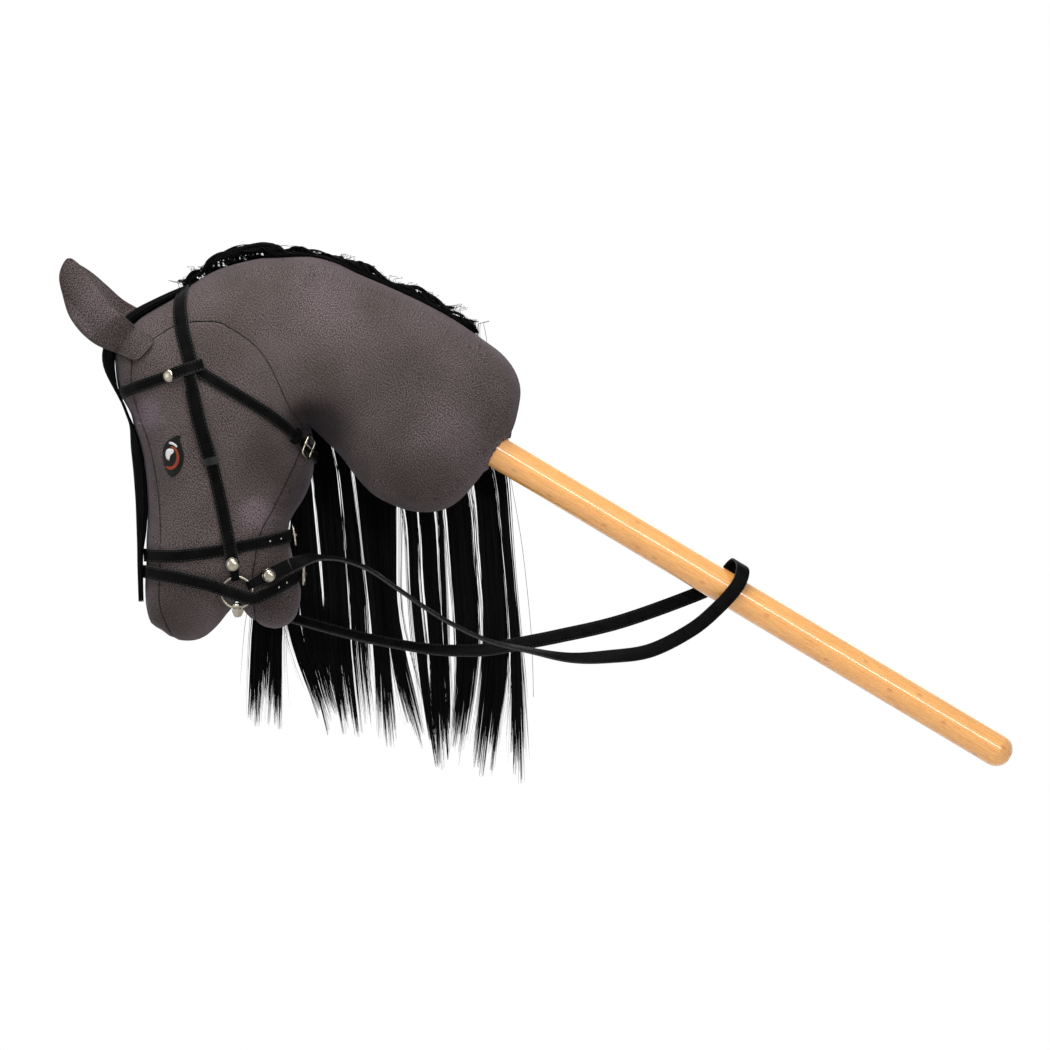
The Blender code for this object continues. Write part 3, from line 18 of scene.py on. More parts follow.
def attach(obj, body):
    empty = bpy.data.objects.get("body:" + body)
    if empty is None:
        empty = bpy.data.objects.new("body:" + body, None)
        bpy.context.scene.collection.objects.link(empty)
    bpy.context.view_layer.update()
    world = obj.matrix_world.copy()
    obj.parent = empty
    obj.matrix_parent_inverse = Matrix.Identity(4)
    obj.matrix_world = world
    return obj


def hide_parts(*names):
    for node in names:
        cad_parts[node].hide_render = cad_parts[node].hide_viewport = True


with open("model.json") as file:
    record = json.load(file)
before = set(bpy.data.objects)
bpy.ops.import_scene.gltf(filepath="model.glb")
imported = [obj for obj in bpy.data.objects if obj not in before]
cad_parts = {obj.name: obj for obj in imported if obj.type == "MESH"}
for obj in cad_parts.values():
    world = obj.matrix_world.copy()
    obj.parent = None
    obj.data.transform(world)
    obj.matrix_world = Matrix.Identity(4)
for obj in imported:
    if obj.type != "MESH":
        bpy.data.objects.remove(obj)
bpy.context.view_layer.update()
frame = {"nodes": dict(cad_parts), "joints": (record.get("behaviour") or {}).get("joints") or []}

MM = 0.001
GAP = 0.3
NEAR, RIDGE, FAR = -1, 0, 1
SIDES = ((NEAR, "left"), (FAR, "right"))

# Camera and the photograph's scale
IMAGE = 1050
PIXEL = 0.842
ENTRY_PIXEL = (498, 452)
CAMERA_AWAY = 14000.0
SENSOR = 36.0

# Stick
STICK_RADIUS = 14.0
STICK_OUTSIDE = 502.0
STICK_INSIDE = 205.0
STICK_SLOPE = math.radians(30.86)
FOOT_FLAT = 8.0
GRIP_BELOW_NECK = 100.0

# Stage, in metres: the floor, and how its own white grows with the distance from the toy
WHITE = (1, 1, 1, 1)
WORLD_LIGHT = 0.24
FLOOR = -0.62
FLOOR_HALF = 20.0
FLOOR_TONE = (0.93, 0.93, 0.93, 1)
GLOW_NEAR, GLOW_FAR = 1.0, 2.4
GLOW_LEAST = 0.6

# Lamps, in metres: name, place, aim, size, power and turn
LAMPS = [
    ("key", (-0.35, -1.2, 1.75), (0.05, 0, 0.02), (1.6, 0.45), 34.0, -STICK_SLOPE),
    ("strip", (0.5, -1.9, 0.62), (0.1, 0, -0.06), (2.2, 0.22), 20.0, -STICK_SLOPE),
    ("top", (-0.5, -0.5, 1.9), (-0.1, 0, 0), (1.6, 1.2), 26.0, 0.0),
    ("fill", (-1.9, -1.0, 0.2), (-0.2, 0, 0), (1.2, 1.2), 6.0, 0.0),
    ("back", (0.6, 2.0, 0.9), (0, 0, 0), (1.6, 1.2), 8.0, 0.0),
]

# Stuffed head and neck
FABRIC = 1.5
FULLNESS = 0.85
GRID = 4.6
RIM_ROWS = (0.3, 1.0, 2.2, 4.0, 6.4, 9.4, 13.0)
SEAM_ROWS = (0.9, 2.4)
GROOVE_DEPTH = 1.1
GROOVE_WIDTH = 1.5
PUCKER_HEIGHT = 0.22
LUMP_SIZE = 38.0
FINE_LUMP = 15.0
LUMP_HEIGHT = 0.8
FILM_ROUNDS = 1500
LIE_ROUNDS = 300
HOLE_DEPTH = 40.0
# The far side's texture coordinates start this far along, in millimetres
FAR_LIE = 900.0

# Bridle
STRAP_WIDTH = 11.0
NARROW_STRAP = 10.0
STRAP_THICKNESS = 1.8
STRAP_STEP = 6.5
STRAP_GAP = 0.5
EASE_ROUNDS = 24
LIFT_REACH = 12.0
FINE_STEP = 2.0
FOLDED = 0.9
STITCH_PITCH = 3.0
STITCH_LENGTH = 2.1
STITCH_RADIUS = 0.27
STITCH_INSET = 1.5
STUD_RADIUS = 5.5
STUD_HEIGHT = 3.6
RING_RADIUS = 13.0
RING_WIRE = 2.2
LOOP_INNER = 2.45
LOOP_OUTER = 3.85
LOOP_WIDTH = 7.0
RING_ROOM = 6.0
KEEPER_LENGTH = 6.0
KEEPER_THICKNESS = 1.2
OVERLAP_WIDER = 1.6
CUT_EDGE_WIDER = 1.8
BUCKLE_SIZE = (15.0, 17.0)
BUCKLE_WIRE = 2.0
REIN_WIDTH = 12.0
REIN_THICKNESS = 1.9

# Hair
STRAND = 0.42
STRAND_SIDES = 3
WEFT_DROP = 12.0
WEFT_WIDTH = 9.0
LOCK_DEPTH = 3.0
LOCK_HALF_TOP = 10.6
# How far behind the middle plane the mane hangs
MANE_BEHIND = 62.0
# How a tress comes from under the crest's hair: shares of the way out and how far it rises
ROOT_SHARES = (0.0, 0.25, 0.5, 0.75)
ROOT_RISE = 0.8
ROOT_SPREAD = 1.3

# Seams: the thread drawn in along them
SEAM_THREAD = 0.4

# The neck's gathered end: how far out from the stick and how proud, from the rim out and back under
COLLAR_PROFILE = [(0.35, 0.2), (1.2, 1.3), (3.2, 1.1), (6.5, 0.1), (6.5, -0.8), (0.35, -1.4)]
COLLAR_SIDES = 112
COLLAR_PLEATS = 16
COLLAR_PLEAT = 0.55

# Side-view outlines and seams, as cut
NECK_EDGE = [
    (-322, 86), (-314, 101), (-303, 113), (-289, 121), (-274, 129.5), (-261, 139), (-237, 153), (-206, 162),
    (-184, 164), (-157, 165), (-137, 160), (-116, 150), (-90, 139), (-62, 126), (-35, 111), (-13, 95),
    (3, 83), (14, 69), (19, 53), (17, 35), (12, 18), (3, 4), (-7, -10), (-19, -26), (-34, -42),
    (-51, -50), (-72, -50), (-90, -44), (-106, -35), (-121, -19), (-132, -4), (-145, 9),
]
JAW_EDGE = [
    (-157, 20), (-154, 5), (-155, -11), (-157, -23), (-163, -38), (-173, -54), (-177, -66),
    (-174, -83), (-170, -102), (-166, -115), (-167, -128), (-172, -141), (-183, -148), (-193, -148),
]
MOUTH_EDGE = [
    (-204, -143), (-212, -136), (-216, -130), (-220, -125), (-223, -130), (-228, -136),
    (-237, -147), (-248, -156), (-260, -159),
]
FACE_EDGE = [
    (-273, -157), (-283, -150), (-292, -144), (-296, -131), (-297, -118), (-297, -107), (-296, -91),
    (-296, -74), (-295, -53), (-297, -24), (-301, 2), (-306, 19), (-309, 32), (-316, 45), (-320, 55),
    (-322, 71),
]
POLL_SEAM = [(-322, 86), (-307, 86)]
CHEEK_SEAM = [
    (-307, 86), (-291, 94), (-273, 105), (-257, 109), (-236, 109), (-225, 104), (-211, 95), (-199, 84),
    (-191, 72), (-183, 55), (-174, 35), (-165, 24),
]
THROAT_SEAM = [(-165, 24), (-157, 20)]
FACE_SEAM = [
    (-307, 86), (-308, 56), (-301, 29), (-293, 6), (-287, -24), (-284, -53), (-284, -91),
    (-285, -125), (-280, -143), (-273, -157),
]
JAW_SEAM = [
    (-165, 24), (-164, 10), (-168, -5), (-179, -29), (-189, -49), (-199, -68), (-204, -91),
    (-207, -116), (-204, -143),
]
EAR_EDGE = [
    (-359, 162), (-346, 151), (-335, 137), (-324, 122), (-312, 111), (-298, 99), (-290, 93), (-296, 84),
    (-304, 78), (-318, 83), (-332, 88), (-341, 93), (-351, 102), (-360, 115), (-365, 131), (-368, 146),
    (-365, 157),
]
EAR_BASE = (-297, 88)
EAR_STANDOFF = 27.0
EAR_ROOT = 34.0
EAR_CAMBER = 9.0
EAR_HALF_WIDTH = 24.0
EAR_GRID = 2.6
EAR_ROUND = 2.4
EAR_PIPING = 0.75
HEM_INSET = 3.4
HEM_WIDTH = 0.7
HEM_DEPTH = 0.45
FAR_EAR_TURN = -12.0
FAR_EAR_SHIFT = (13.0, 13.0)

# Straps, as points in side view
CROWN_WIDTH = 13.0
CROWN_TOP = (-262, 139)
CROWN = [(-266.5, 111), (-261, 90), (-256.5, 72)]
CHEEK = [(-257, 64), (-250, 26), (-238, -13), (-230, -53), (-225, -80), (-223, -97)]
BROWBAND = [(-246, 73), (-276, 63), (-297, 56)]
BROWBAND_FRONT = (-321, 48)
CHEEK_OVERLAP = (-15, 56)
THROATLATCH = [(-251, 68), (-217, 47), (-188, 30), (-172, 15), (-162, 2)]
THROATLATCH_UNDER = (-156, -8)
NOSEBAND = [(-188, -73), (-209, -77), (-235, -83), (-270, -88)]
NOSEBAND_FRONT = (-297, -86)
NOSEBAND_BACK = (-174, -70)
FLASH = [(-300, -100), (-268, -106), (-242, -112), (-219, -120), (-206, -124), (-190, -116.5), (-160, -99)]
THROAT_KEEPER = (-172, 13)
NOSE_HOLES = [(-191.5, -80), (-183, -76.4)]
FLASH_HOLES = [(-185.7, -114.3), (-178.1, -109.3)]
BIT_RING = (-219, -118)
BIT_AXIS = (-219, -132.5)
CHEEK_ANGLE = math.radians(97)
REIN_ANGLE = {NEAR: math.radians(30), FAR: math.radians(-45)}

# Rein, in metres in the model's own frame, and the direction of its width at each point
REIN_ROUTE = [
    (-0.25984, -0.036, -0.04371), (-0.24384, -0.037, -0.03871), (-0.23184, -0.037, -0.03771),
    (-0.21484, -0.037, -0.03971), (-0.19384, -0.036, -0.04771), (-0.17284, -0.035, -0.06171),
    (-0.14684, -0.033, -0.07971), (-0.12184, -0.031, -0.09471), (-0.09284, -0.029, -0.10771),
    (-0.05884, -0.028, -0.11571), (-0.02484, -0.026, -0.12171), (0.00816, -0.025, -0.12071),
    (0.04216, -0.023, -0.11571), (0.07616, -0.021, -0.09871), (0.09816, -0.020, -0.08071),
    (0.11516, -0.019, -0.06171), (0.12016, -0.014, -0.04771), (0.11616, 0.0, -0.04171),
    (0.11016, 0.014, -0.04671), (0.10116, 0.019, -0.05871), (0.07616, 0.021, -0.07071),
    (0.01716, 0.024, -0.09171), (-0.03384, 0.026, -0.10371), (-0.06984, 0.028, -0.11071),
    (-0.09884, 0.029, -0.11571), (-0.13384, 0.031, -0.11571), (-0.16484, 0.033, -0.11171),
    (-0.20084, 0.035, -0.10471), (-0.23184, 0.037, -0.09671), (-0.25984, 0.037, -0.08871),
]
REIN_ACROSS = (
    [(0.3, 0, 0.95), (0, 0.75, 0.66), (0, 0.95, 0.3)]
    + [(0, 0.97, 0.24)] * 6
    + [(0, 0.93, 0.36), (0, 0.75, 0.66), (-0.1, 0.4, 0.9), (-0.3, 0.15, 0.95), (-0.5, 0, 0.87),
       (-0.75, 0, 0.66)]
    + [(-0.83, 0, 0.56), (-0.858, 0, 0.513), (-0.858, 0, 0.513), (-0.858, 0, 0.513), (-0.77, 0, 0.64)]
    + [(-0.4, 0, 0.92), (-0.15, 0.1, 0.98), (0, 0.2, 0.98), (0, 0.35, 0.94), (0, 0.5, 0.87), (0, 0.65, 0.76)]
    + [(0, 0.75, 0.66)] * 4
)

# Forelock: x, z, half its depth and half its width, then its number of strands
FORELOCK = [
    (-259, 140.5, 1.0, 4), (-273.5, 133, 2.6, 5), (-289.5, 124.6, 3.4, 6), (-302.5, 116.5, 4.6, 7.5),
    (-312, 109, 4.8, 9), (-322, 97, 5.2, 11),
    (-327.4, 84, 5.4, 12), (-327, 70, 4.2, 12), (-320.5, 50, 0.9, 7), (-315.8, 41, 0.9, 4),
    (-312, 31, 0.9, 4),
    (-308.6, 22.7, 1.4, 6), (-306.2, 12.6, 3.1, 9), (-304.4, 2.9, 4.3, 11), (-301.9, -13.5, 5.0, 12),
    (-300, -38.7, 5.0, 12), (-300, -63.7, 4.1, 11), (-301, -80.5, 2.6, 9), (-301.3, -92.3, 2.2, 8),
    (-301, -108, 2.2, 7), (-300.4, -130, 2.3, 7),
]
FORELOCK_Y = -2.0
FORELOCK_STRANDS = 420

# Hair along the crest: where it lies, how thick it is and how much it gapes, by picture column
CREST = [
    (-261, 139), (-237, 153), (-206, 162), (-184, 164), (-157, 165), (-137, 160), (-116, 150),
    (-90, 139), (-62, 126), (-35, 111), (-17, 98),
]
CREST_HAIR = [
    (187, 8), (190, 11.5), (200, 11), (204, 9.5), (208, 11.5), (213, 14.5), (222, 15.5), (241, 15.5),
    (258, 14.8),
    (281, 14), (292, 12), (308, 8), (322, 6),
    (338, 5.5), (346, 8), (354, 12), (367, 13), (376, 9), (386, 5.5), (393, 5), (402, 8), (413, 12),
    (425, 13), (437, 8.5), (445, 7), (456, 8.5), (466, 9), (474, 5), (479, 2),
]

CREST_MASS_FROM = 222
CREST_CLOSED_FROM = 266
CREST_WISPS = 60
CREST_STRAYS = 40
# Wisps that bow over the open front of the crest: first and last column, height as a share of the thickness
CREST_CAPS = [
    (186, 206, 0.9), (187, 206, 0.66), (188, 205, 0.46), (202, 236, 0.92), (212, 262, 0.86), (204, 232, 0.7),
]
# Arched wisps below them: columns and height again, width of an arch in millimetres, lean
CREST_ARCHES = [
    (187, 205, 0.84, 3.9, 0.8), (188, 205, 0.6, 4.6, -0.6), (206, 240, 0.86, 4.9, 1.2),
    (204, 246, 0.66, 4.3, 0.4), (210, 262, 0.5, 3.7, -0.6),
]

# Mane tresses: number of the lock, column on the crest, then rows of height, left and right edge
TRESSES = [
    (1, 195, [(590, 252, 268), (630, 251, 268), (670, 249, 266), (729, 246, 263)]),
    (2, 217, [(590, 267, 283), (630, 266, 282), (670, 265, 282), (735, 259, 283)]),
    (3, 239, [(480, 290, 303), (560, 287, 302), (590, 285, 300), (624, 286, 299), (663, 297, 311),
              (700, 311, 323),
              (736, 322, 331)]),
    (4, 261, [(470, 296, 310), (480, 295, 311), (540, 297, 317), (600, 299, 323), (640, 302, 326),
              (676, 312, 333),
              (722, 326, 345)]),
    (4, 283, [(465, 311, 335), (480, 313, 337), (540, 319, 343), (600, 324, 348), (640, 321, 351),
              (676, 328, 354),
              (738, 340, 361)]),
    (5, 305, [(465, 338, 350), (530, 345, 358), (600, 350, 366), (640, 351, 368), (676, 354, 371),
              (735, 360, 379)]),
    (6, 327, [(465, 352, 376), (530, 360, 379), (600, 368, 385), (645, 372, 389), (690, 374, 393),
              (752, 374, 400)]),
    (7, 349, [(465, 372, 395), (530, 376, 396), (600, 383, 397), (645, 389, 404), (690, 397, 415),
              (752, 414, 430)]),
    (8, 371, [(513, 406, 416), (580, 410, 418), (641, 415, 424), (700, 422, 431), (770, 433, 441)]),
    (8, 391, [(513, 419, 434), (580, 423, 438), (641, 429, 443), (700, 430, 447), (775, 434, 451)]),
    (9, 413, [(496, 444, 469), (552, 449, 474), (619, 454, 480), (674, 455, 478), (766, 447, 464)]),
    (10, 437, [(473, 473, 492), (552, 480, 501), (619, 484, 506), (663, 482, 508), (720, 476, 501),
               (778, 469, 495)]),
    (9, 403, [(505, 437.5, 441), (560, 440, 444), (640, 444, 448), (700, 446, 451), (740, 446, 450)]),
    (11, 461, [(471, 495.5, 505), (552, 503.5, 511.5), (619, 509.5, 517.5), (686, 511.5, 523),
               (784, 509, 528)]),
]

# The lock that the light shows through, and how full it is
SPARSE_LOCK = 5
SPARSE_SHARE = 0.3

# The one long hair at the back edge of the mane, by picture points
STRAY_PATH = [(511, 480), (522, 545), (530, 618), (532.5, 660), (533.5, 697)]

# The embroidered eye, by picture points
EYE_BLACK = [
    (181.5, 435.6), (175.2, 437.4), (169.3, 440.7), (164.9, 446.6), (163.4, 454.5), (164.5, 462.4),
    (167.1, 470.3),
    (172.3, 476.8), (178.2, 474.3), (182.3, 468.3), (184.9, 460.4), (184.7, 453.5), (182.9, 446.6),
    (181.2, 440.7),
]
EYE_AMBER = [
    (172.8, 446.4), (176.8, 448.3), (179.7, 452.9), (180.7, 458.5), (179.3, 464.4), (175.6, 468.9),
    (170.9, 470.1),
    (167.1, 468.4), (167.2, 466.2), (171.3, 467.0), (175.0, 465.0), (177.2, 460.4), (177.5, 455.5),
    (176.1, 451.0),
    (173.6, 448.8), (171.7, 448.2),
]
EYE_WHITES = [
    [(170.6, 442.3), (174.5, 442.9), (178.6, 446.2), (177.6, 447.7), (174.2, 445.2), (170.6, 444.3)],
    [(167.3, 450.9), (169.9, 448.9), (174.2, 449.6), (174.9, 452.5), (171.4, 456.0), (170.4, 460.4),
     (168.2, 459.6),
     (166.6, 455.5)],
]

# Painted highlights and painted shade on the cloth, where light and shade fall on the head and neck: picture
# point, reach in millimetres, share and tint
PAINTED_HIGHLIGHT = (1.75, 1.66, 1.95)
PAINTED_SHADE = (0.42, 0.42, 0.42)
PAINTED_DEEP_SHADE = (0.1, 0.1, 0.1)
PAINTED_LIGHT_SPOTS = [
    ((148, 415), 20, 0.75, PAINTED_HIGHLIGHT), ((256, 513), 20, 0.85, PAINTED_HIGHLIGHT), ((96, 305), 30, 0.3, PAINTED_HIGHLIGHT),
    ((335, 285), 50, 0.3, PAINTED_HIGHLIGHT), ((440, 335), 46, 0.22, PAINTED_HIGHLIGHT), ((455, 440), 46, 0.25, PAINTED_HIGHLIGHT),
    ((262, 462), 36, 0.6, PAINTED_SHADE), ((180, 612), 34, 0.45, PAINTED_SHADE), ((420, 490), 48, 0.4, PAINTED_SHADE),
    ((322, 428), 40, 0.8, PAINTED_DEEP_SHADE), ((306, 494), 34, 0.75, PAINTED_SHADE),
    ((304, 420), 22, 0.6, PAINTED_DEEP_SHADE), ((270, 600), 28, 0.7, PAINTED_SHADE),
    ((400, 385), 50, 0.2, PAINTED_SHADE),
]

STICK_DOWN = np.array((math.cos(STICK_SLOPE), 0, -math.sin(STICK_SLOPE)))
ENTRY = -STICK_DOWN * GRIP_BELOW_NECK
CENTRE_PIXEL = IMAGE / 2


def pattern(px, py):
    """A picture point as a side-view point on the middle plane."""
    return ((px - ENTRY_PIXEL[0]) * PIXEL, (ENTRY_PIXEL[1] - py) * PIXEL)


def seen_at(px, py, depth):
    """The side-view point that the camera sees at a picture point, at a distance behind the middle plane."""
    spread = 1 + depth / CAMERA_AWAY
    return pattern(CENTRE_PIXEL + (px - CENTRE_PIXEL) * spread, CENTRE_PIXEL + (py - CENTRE_PIXEL) * spread)


# Camera, lamps and stage
def make_camera():
    """The camera far away on the left side, so that the photograph's frame keeps one scale."""
    data = bpy.data.cameras.new("camera")
    data.sensor_width = SENSOR
    data.lens = SENSOR * CAMERA_AWAY / (IMAGE * PIXEL)
    data.dof.use_dof = False
    camera = bpy.data.objects.new("camera", data)
    x, z = pattern(CENTRE_PIXEL, CENTRE_PIXEL)
    camera.location = ((x + ENTRY[0]) * MM, -CAMERA_AWAY * MM, (z + ENTRY[2]) * MM)
    camera.rotation_euler = (math.pi / 2, 0, 0)
    bpy.context.scene.collection.objects.link(camera)
    bpy.context.scene.camera = camera


def make_lamp(name, place, aim, size, power, turn):
    """A rectangular lamp in metres that shines from its place towards its aim."""
    data = bpy.data.lights.new(name, "AREA")
    data.shape = "RECTANGLE"
    data.size, data.size_y = size
    data.energy = power
    lamp = bpy.data.objects.new(name, data)
    lamp.location = place
    away = Vector(place) - Vector(aim)
    spin = Matrix.Rotation(turn, 3, "Z")
    lamp.rotation_euler = (away.to_track_quat("Z", "Y").to_matrix() @ spin).to_euler()
    bpy.context.scene.collection.objects.link(lamp)


def make_floor_look():
    """A pale floor that also glows white, as far as the camera and what shines can see."""
    look = bpy.data.materials.new("floor")
    look.use_nodes = True
    tree = look.node_tree
    tree.nodes.clear()
    lit = add_node(tree, "BsdfDiffuse", {"Color": FLOOR_TONE}).outputs[0]
    glow = add_node(tree, "Emission", {"Color": WHITE}).outputs[0]
    place = add_node(tree, "NewGeometry").outputs["Position"]
    away = add_node(tree, "VectorMath", {0: place}, operation="LENGTH").outputs["Value"]
    growth = {0: away, 1: GLOW_NEAR, 2: GLOW_FAR, 3: GLOW_LEAST, 4: 1.0}
    glowing = add_node(tree, "MapRange", growth).outputs[0]
    share = add_node(tree, "Math", {0: seen_rays(tree), 1: glowing}, operation="MULTIPLY").outputs[0]
    mix = add_node(tree, "MixShader", {0: share, 1: lit, 2: glow})
    add_node(tree, "OutputMaterial", {0: mix.outputs[0]})
    return look


def make_stage():
    """A pale floor well below the toy, and a white world that only gives a soft even light."""
    world = bpy.data.worlds.new("studio")
    bpy.context.scene.world = world
    world.use_nodes = True
    tree = world.node_tree
    tree.nodes.clear()
    plain = add_node(tree, "Background", {"Color": WHITE, "Strength": WORLD_LIGHT}).outputs[0]
    white = add_node(tree, "Background", {"Color": WHITE, "Strength": 1.0}).outputs[0]
    mix = add_node(tree, "MixShader", {0: seen_rays(tree), 1: plain, 2: white})
    add_node(tree, "OutputWorld", {0: mix.outputs[0]})
    mesh = bpy.data.meshes.new("floor")
    corners = [(a * FLOOR_HALF, b * FLOOR_HALF, FLOOR) for a, b in ((-1, -1), (1, -1), (1, 1), (-1, 1))]
    mesh.from_pydata(corners, [], [(0, 1, 2, 3)])
    mesh.materials.append(make_floor_look())
    floor = bpy.data.objects.new("floor", mesh)
    bpy.context.scene.collection.objects.link(floor)


def seen_rays(tree):
    """One for the rays that show the stage as white: from the camera, and off or through what shines."""
    path = add_node(tree, "LightPath").outputs
    either = {0: path["Is Glossy Ray"], 1: path["Is Transmission Ray"]}
    shiny = add_node(tree, "Math", either, operation="MAXIMUM").outputs[0]
    return add_node(tree, "Math", {0: path["Is Camera Ray"], 1: shiny}, operation="MAXIMUM").outputs[0]


def add_node(tree, kind, inputs=None, **settings):
    """A shader node. An input is either the socket that feeds it or its value."""
    made = tree.nodes.new("ShaderNode" + kind)
    for key, value in settings.items():
        setattr(made, key, value)
    for key, value in (inputs or {}).items():
        if hasattr(value, "is_linked"):
            tree.links.new(value, made.inputs[key])
        else:
            made.inputs[key].default_value = value
    return made


# Materials
class Look:
    """A material on one principled shader, with short calls for the nodes that feed it."""

    def __init__(self, name, **plain):
        self.material = bpy.data.materials.new(name)
        self.material.use_nodes = True
        self.tree = self.material.node_tree
        self.shader = self.tree.nodes["Principled BSDF"]
        for key, value in plain.items():
            self.shader.inputs[key.replace("_", " ")].default_value = value

    def node(self, kind, inputs=None, **settings):
        return add_node(self.tree, kind, inputs, **settings)

    def place(self, scale=(1, 1, 1), turn=(0, 0, 0)):
        """The place on the piece in millimetres, read from its own stored coordinates."""
        lie = self.node("Attribute", attribute_name="lie").outputs["Vector"]
        return self.node("Mapping", {"Vector": lie, "Scale": scale, "Rotation": turn}).outputs[0]

    def noise(self, where, scale, detail=2.0, rough=0.5):
        return self.node(
            "TexNoise", {"Vector": where, "Scale": scale, "Detail": detail, "Roughness": rough}
        ).outputs["Fac"]

    def math(self, operation, a, b=0.0):
        return self.node("Math", {0: a, 1: b}, operation=operation).outputs[0]

    def ramp(self, value, stops):
        made = self.node("ValToRGB", {"Fac": value})
        elements = made.color_ramp.elements
        while len(elements) < len(stops):
            elements.new(0.5)
        for element, (at, colour) in zip(elements, stops):
            element.position = at
            element.color = (*colour, 1)
        return made.outputs["Color"]

    def mix(self, share, a, b, kind="MIX"):
        made = self.node("Mix", data_type="RGBA", blend_type=kind)
        for socket, value in ((made.inputs[0], share), (made.inputs[6], a), (made.inputs[7], b)):
            if hasattr(value, "is_linked"):
                self.tree.links.new(value, socket)
            else:
                socket.default_value = (*value, 1) if hasattr(value, "__len__") else value
        return made.outputs[2]

    def feed(self, **sockets):
        for key, value in sockets.items():
            self.tree.links.new(value, self.shader.inputs[key.replace("_", " ")])

    def bump(self, height, distance):
        """Relief of the given depth in millimetres."""
        made = self.node("Bump", {"Height": height, "Distance": distance * MM, "Strength": 1.0})
        self.tree.links.new(made.outputs[0], self.shader.inputs["Normal"])


def cloth_look(name="grey_cloth", shade=1.0):
    """Dark taupe twill: short pale and dark dashes on two slants, slow changes of tone, and painted highlights
    and painted shade at fixed places.
    """
    look = Look(name, Roughness=0.9, Sheen_Weight=0.13, Sheen_Roughness=0.4)
    look.shader.inputs["Sheen Tint"].default_value = (0.82, 0.74, 0.92, 1)
    look.shader.inputs["Specular IOR Level"].default_value = 0.08
    slant = math.radians(48)
    rising = look.noise(look.place(scale=(1.0, 0.36, 1), turn=(0, 0, slant)), 2.4, 1.0, 0.5)
    falling = look.noise(look.place(scale=(0.42, 1.0, 1), turn=(0, 0, slant)), 2.2, 1.0, 0.5)
    weave = look.math("ADD", look.math("MULTIPLY", rising, 0.55), look.math("MULTIPLY", falling, 0.45))
    dashes = look.ramp(
        weave, [(0.45, (0.006, 0.005, 0.005)), (0.5, (0.05, 0.0385, 0.0375)), (0.55, (0.163, 0.132, 0.129))]
    )
    tone = look.ramp(look.noise(look.place(), 0.017, 2.0), [(0.36, (0.72, 0.71, 0.69)), (0.66, (1, 0.98, 1))])
    colour = look.mix(1.0, dashes, tone, "MULTIPLY")
    position = look.node("NewGeometry").outputs["Position"]
    where = look.node("VectorMath", {0: position, 1: (1, 0, 1)}, operation="MULTIPLY").outputs["Vector"]
    # Painted highlights and painted shade, by the distance in side view, the same on both sides
    for (px, py), reach, strength, tint in PAINTED_LIGHT_SPOTS:
        x, z = pattern(px, py)
        centre = ((x + ENTRY[0]) * MM, 0, (z + ENTRY[2]) * MM)
        away = look.node("VectorMath", {0: where, 1: centre}, operation="DISTANCE").outputs["Value"]
        share = look.node("MapRange", {0: away, 1: reach * MM, 2: 0.2 * reach * MM, 3: 0.0, 4: strength},
                          interpolation_type="SMOOTHSTEP").outputs[0]
        colour = look.mix(share, colour, look.mix(1.0, colour, tint, "MULTIPLY"))
    look.feed(Base_Color=look.mix(1.0, colour, (shade,) * 3, "MULTIPLY"))
    look.bump(weave, 0.2)
    return look.material


def leather_look(name="black_leather", tone=0.0022):
    """Black strap leather: fine pebbled grain, a soft shine and edges rubbed slightly grey."""
    look = Look(name)
    look.shader.inputs["Specular IOR Level"].default_value = 0.02
    where = look.place()
    pores = look.node("TexVoronoi", {"Vector": where, "Scale": 0.9}).outputs["Distance"]
    grain = look.math("ADD", look.math("MULTIPLY", pores, 0.6), look.noise(where, 0.6, 3.0))
    colour = look.ramp(look.noise(where, 0.12, 3.0), [(0.3, (tone * 0.7,) * 3), (0.75, (tone * 1.7,) * 3)])
    edge = look.node("Attribute", attribute_name="edge").outputs["Fac"]
    pale_edge = look.math("MULTIPLY", edge, look.noise(where, 0.5, 3.0))
    look.feed(Base_Color=look.mix(pale_edge, colour, (0.07, 0.067, 0.065)))
    look.feed(Roughness=look.node("MapRange", {0: grain, 3: 0.26, 4: 0.5}).outputs[0])
    look.bump(grain, 0.22)
    return look.material


def thread_look(name, colour):
    """Satin-stitched thread: close parallel ridges with a soft lustre."""
    look = Look(name, Roughness=0.55)
    look.shader.inputs["Specular IOR Level"].default_value = 0.15
    where = look.place(turn=(0, 0, math.radians(24)))
    wave = look.node("TexWave", {"Vector": where, "Scale": 2.4, "Distortion": 1.2, "Detail": 2.0})
    ridges = wave.outputs["Fac"]
    dark = tuple(c * 0.55 for c in colour)
    look.feed(Base_Color=look.mix(ridges, dark, colour))
    look.bump(ridges, 0.15)
    return look.material


def hair_look():
    """Black glossy hair, each strand with its own slight tone and a fine unevenness along it."""
    look = Look("black_hair")
    look.shader.inputs["Specular IOR Level"].default_value = 0.03
    where = look.place()
    tone = look.noise(where, 0.6, 2.0)
    look.feed(Base_Color=look.ramp(tone, [(0.3, (0.0018, 0.0018, 0.002)), (0.8, (0.006, 0.006, 0.0065))]))
    look.feed(Roughness=look.node("MapRange", {0: tone, 3: 0.3, 4: 0.45}).outputs[0])
    return look.material


def metal_look():
    """Bright nickel with a faint warm cast, tiny scratches and duller patches, its colour darkened as painted
    shade for the dark surroundings it would reflect.
    """
    look = Look("nickel", Metallic=1.0)
    where = look.place()
    marks = look.noise(look.place(scale=(1, 6, 1)), 0.9, 4.0, 0.7)
    dull = look.noise(where, 0.15, 2.0)
    # The low colour is painted shade, for the dark surroundings seen in the metal's reflections
    look.feed(Base_Color=look.ramp(dull, [(0.3, (0.26, 0.235, 0.185)), (0.75, (0.40, 0.37, 0.30))]))
    look.feed(Roughness=look.node("MapRange", {0: marks, 3: 0.12, 4: 0.3}).outputs[0])
    look.bump(marks, 0.01)
    return look.material


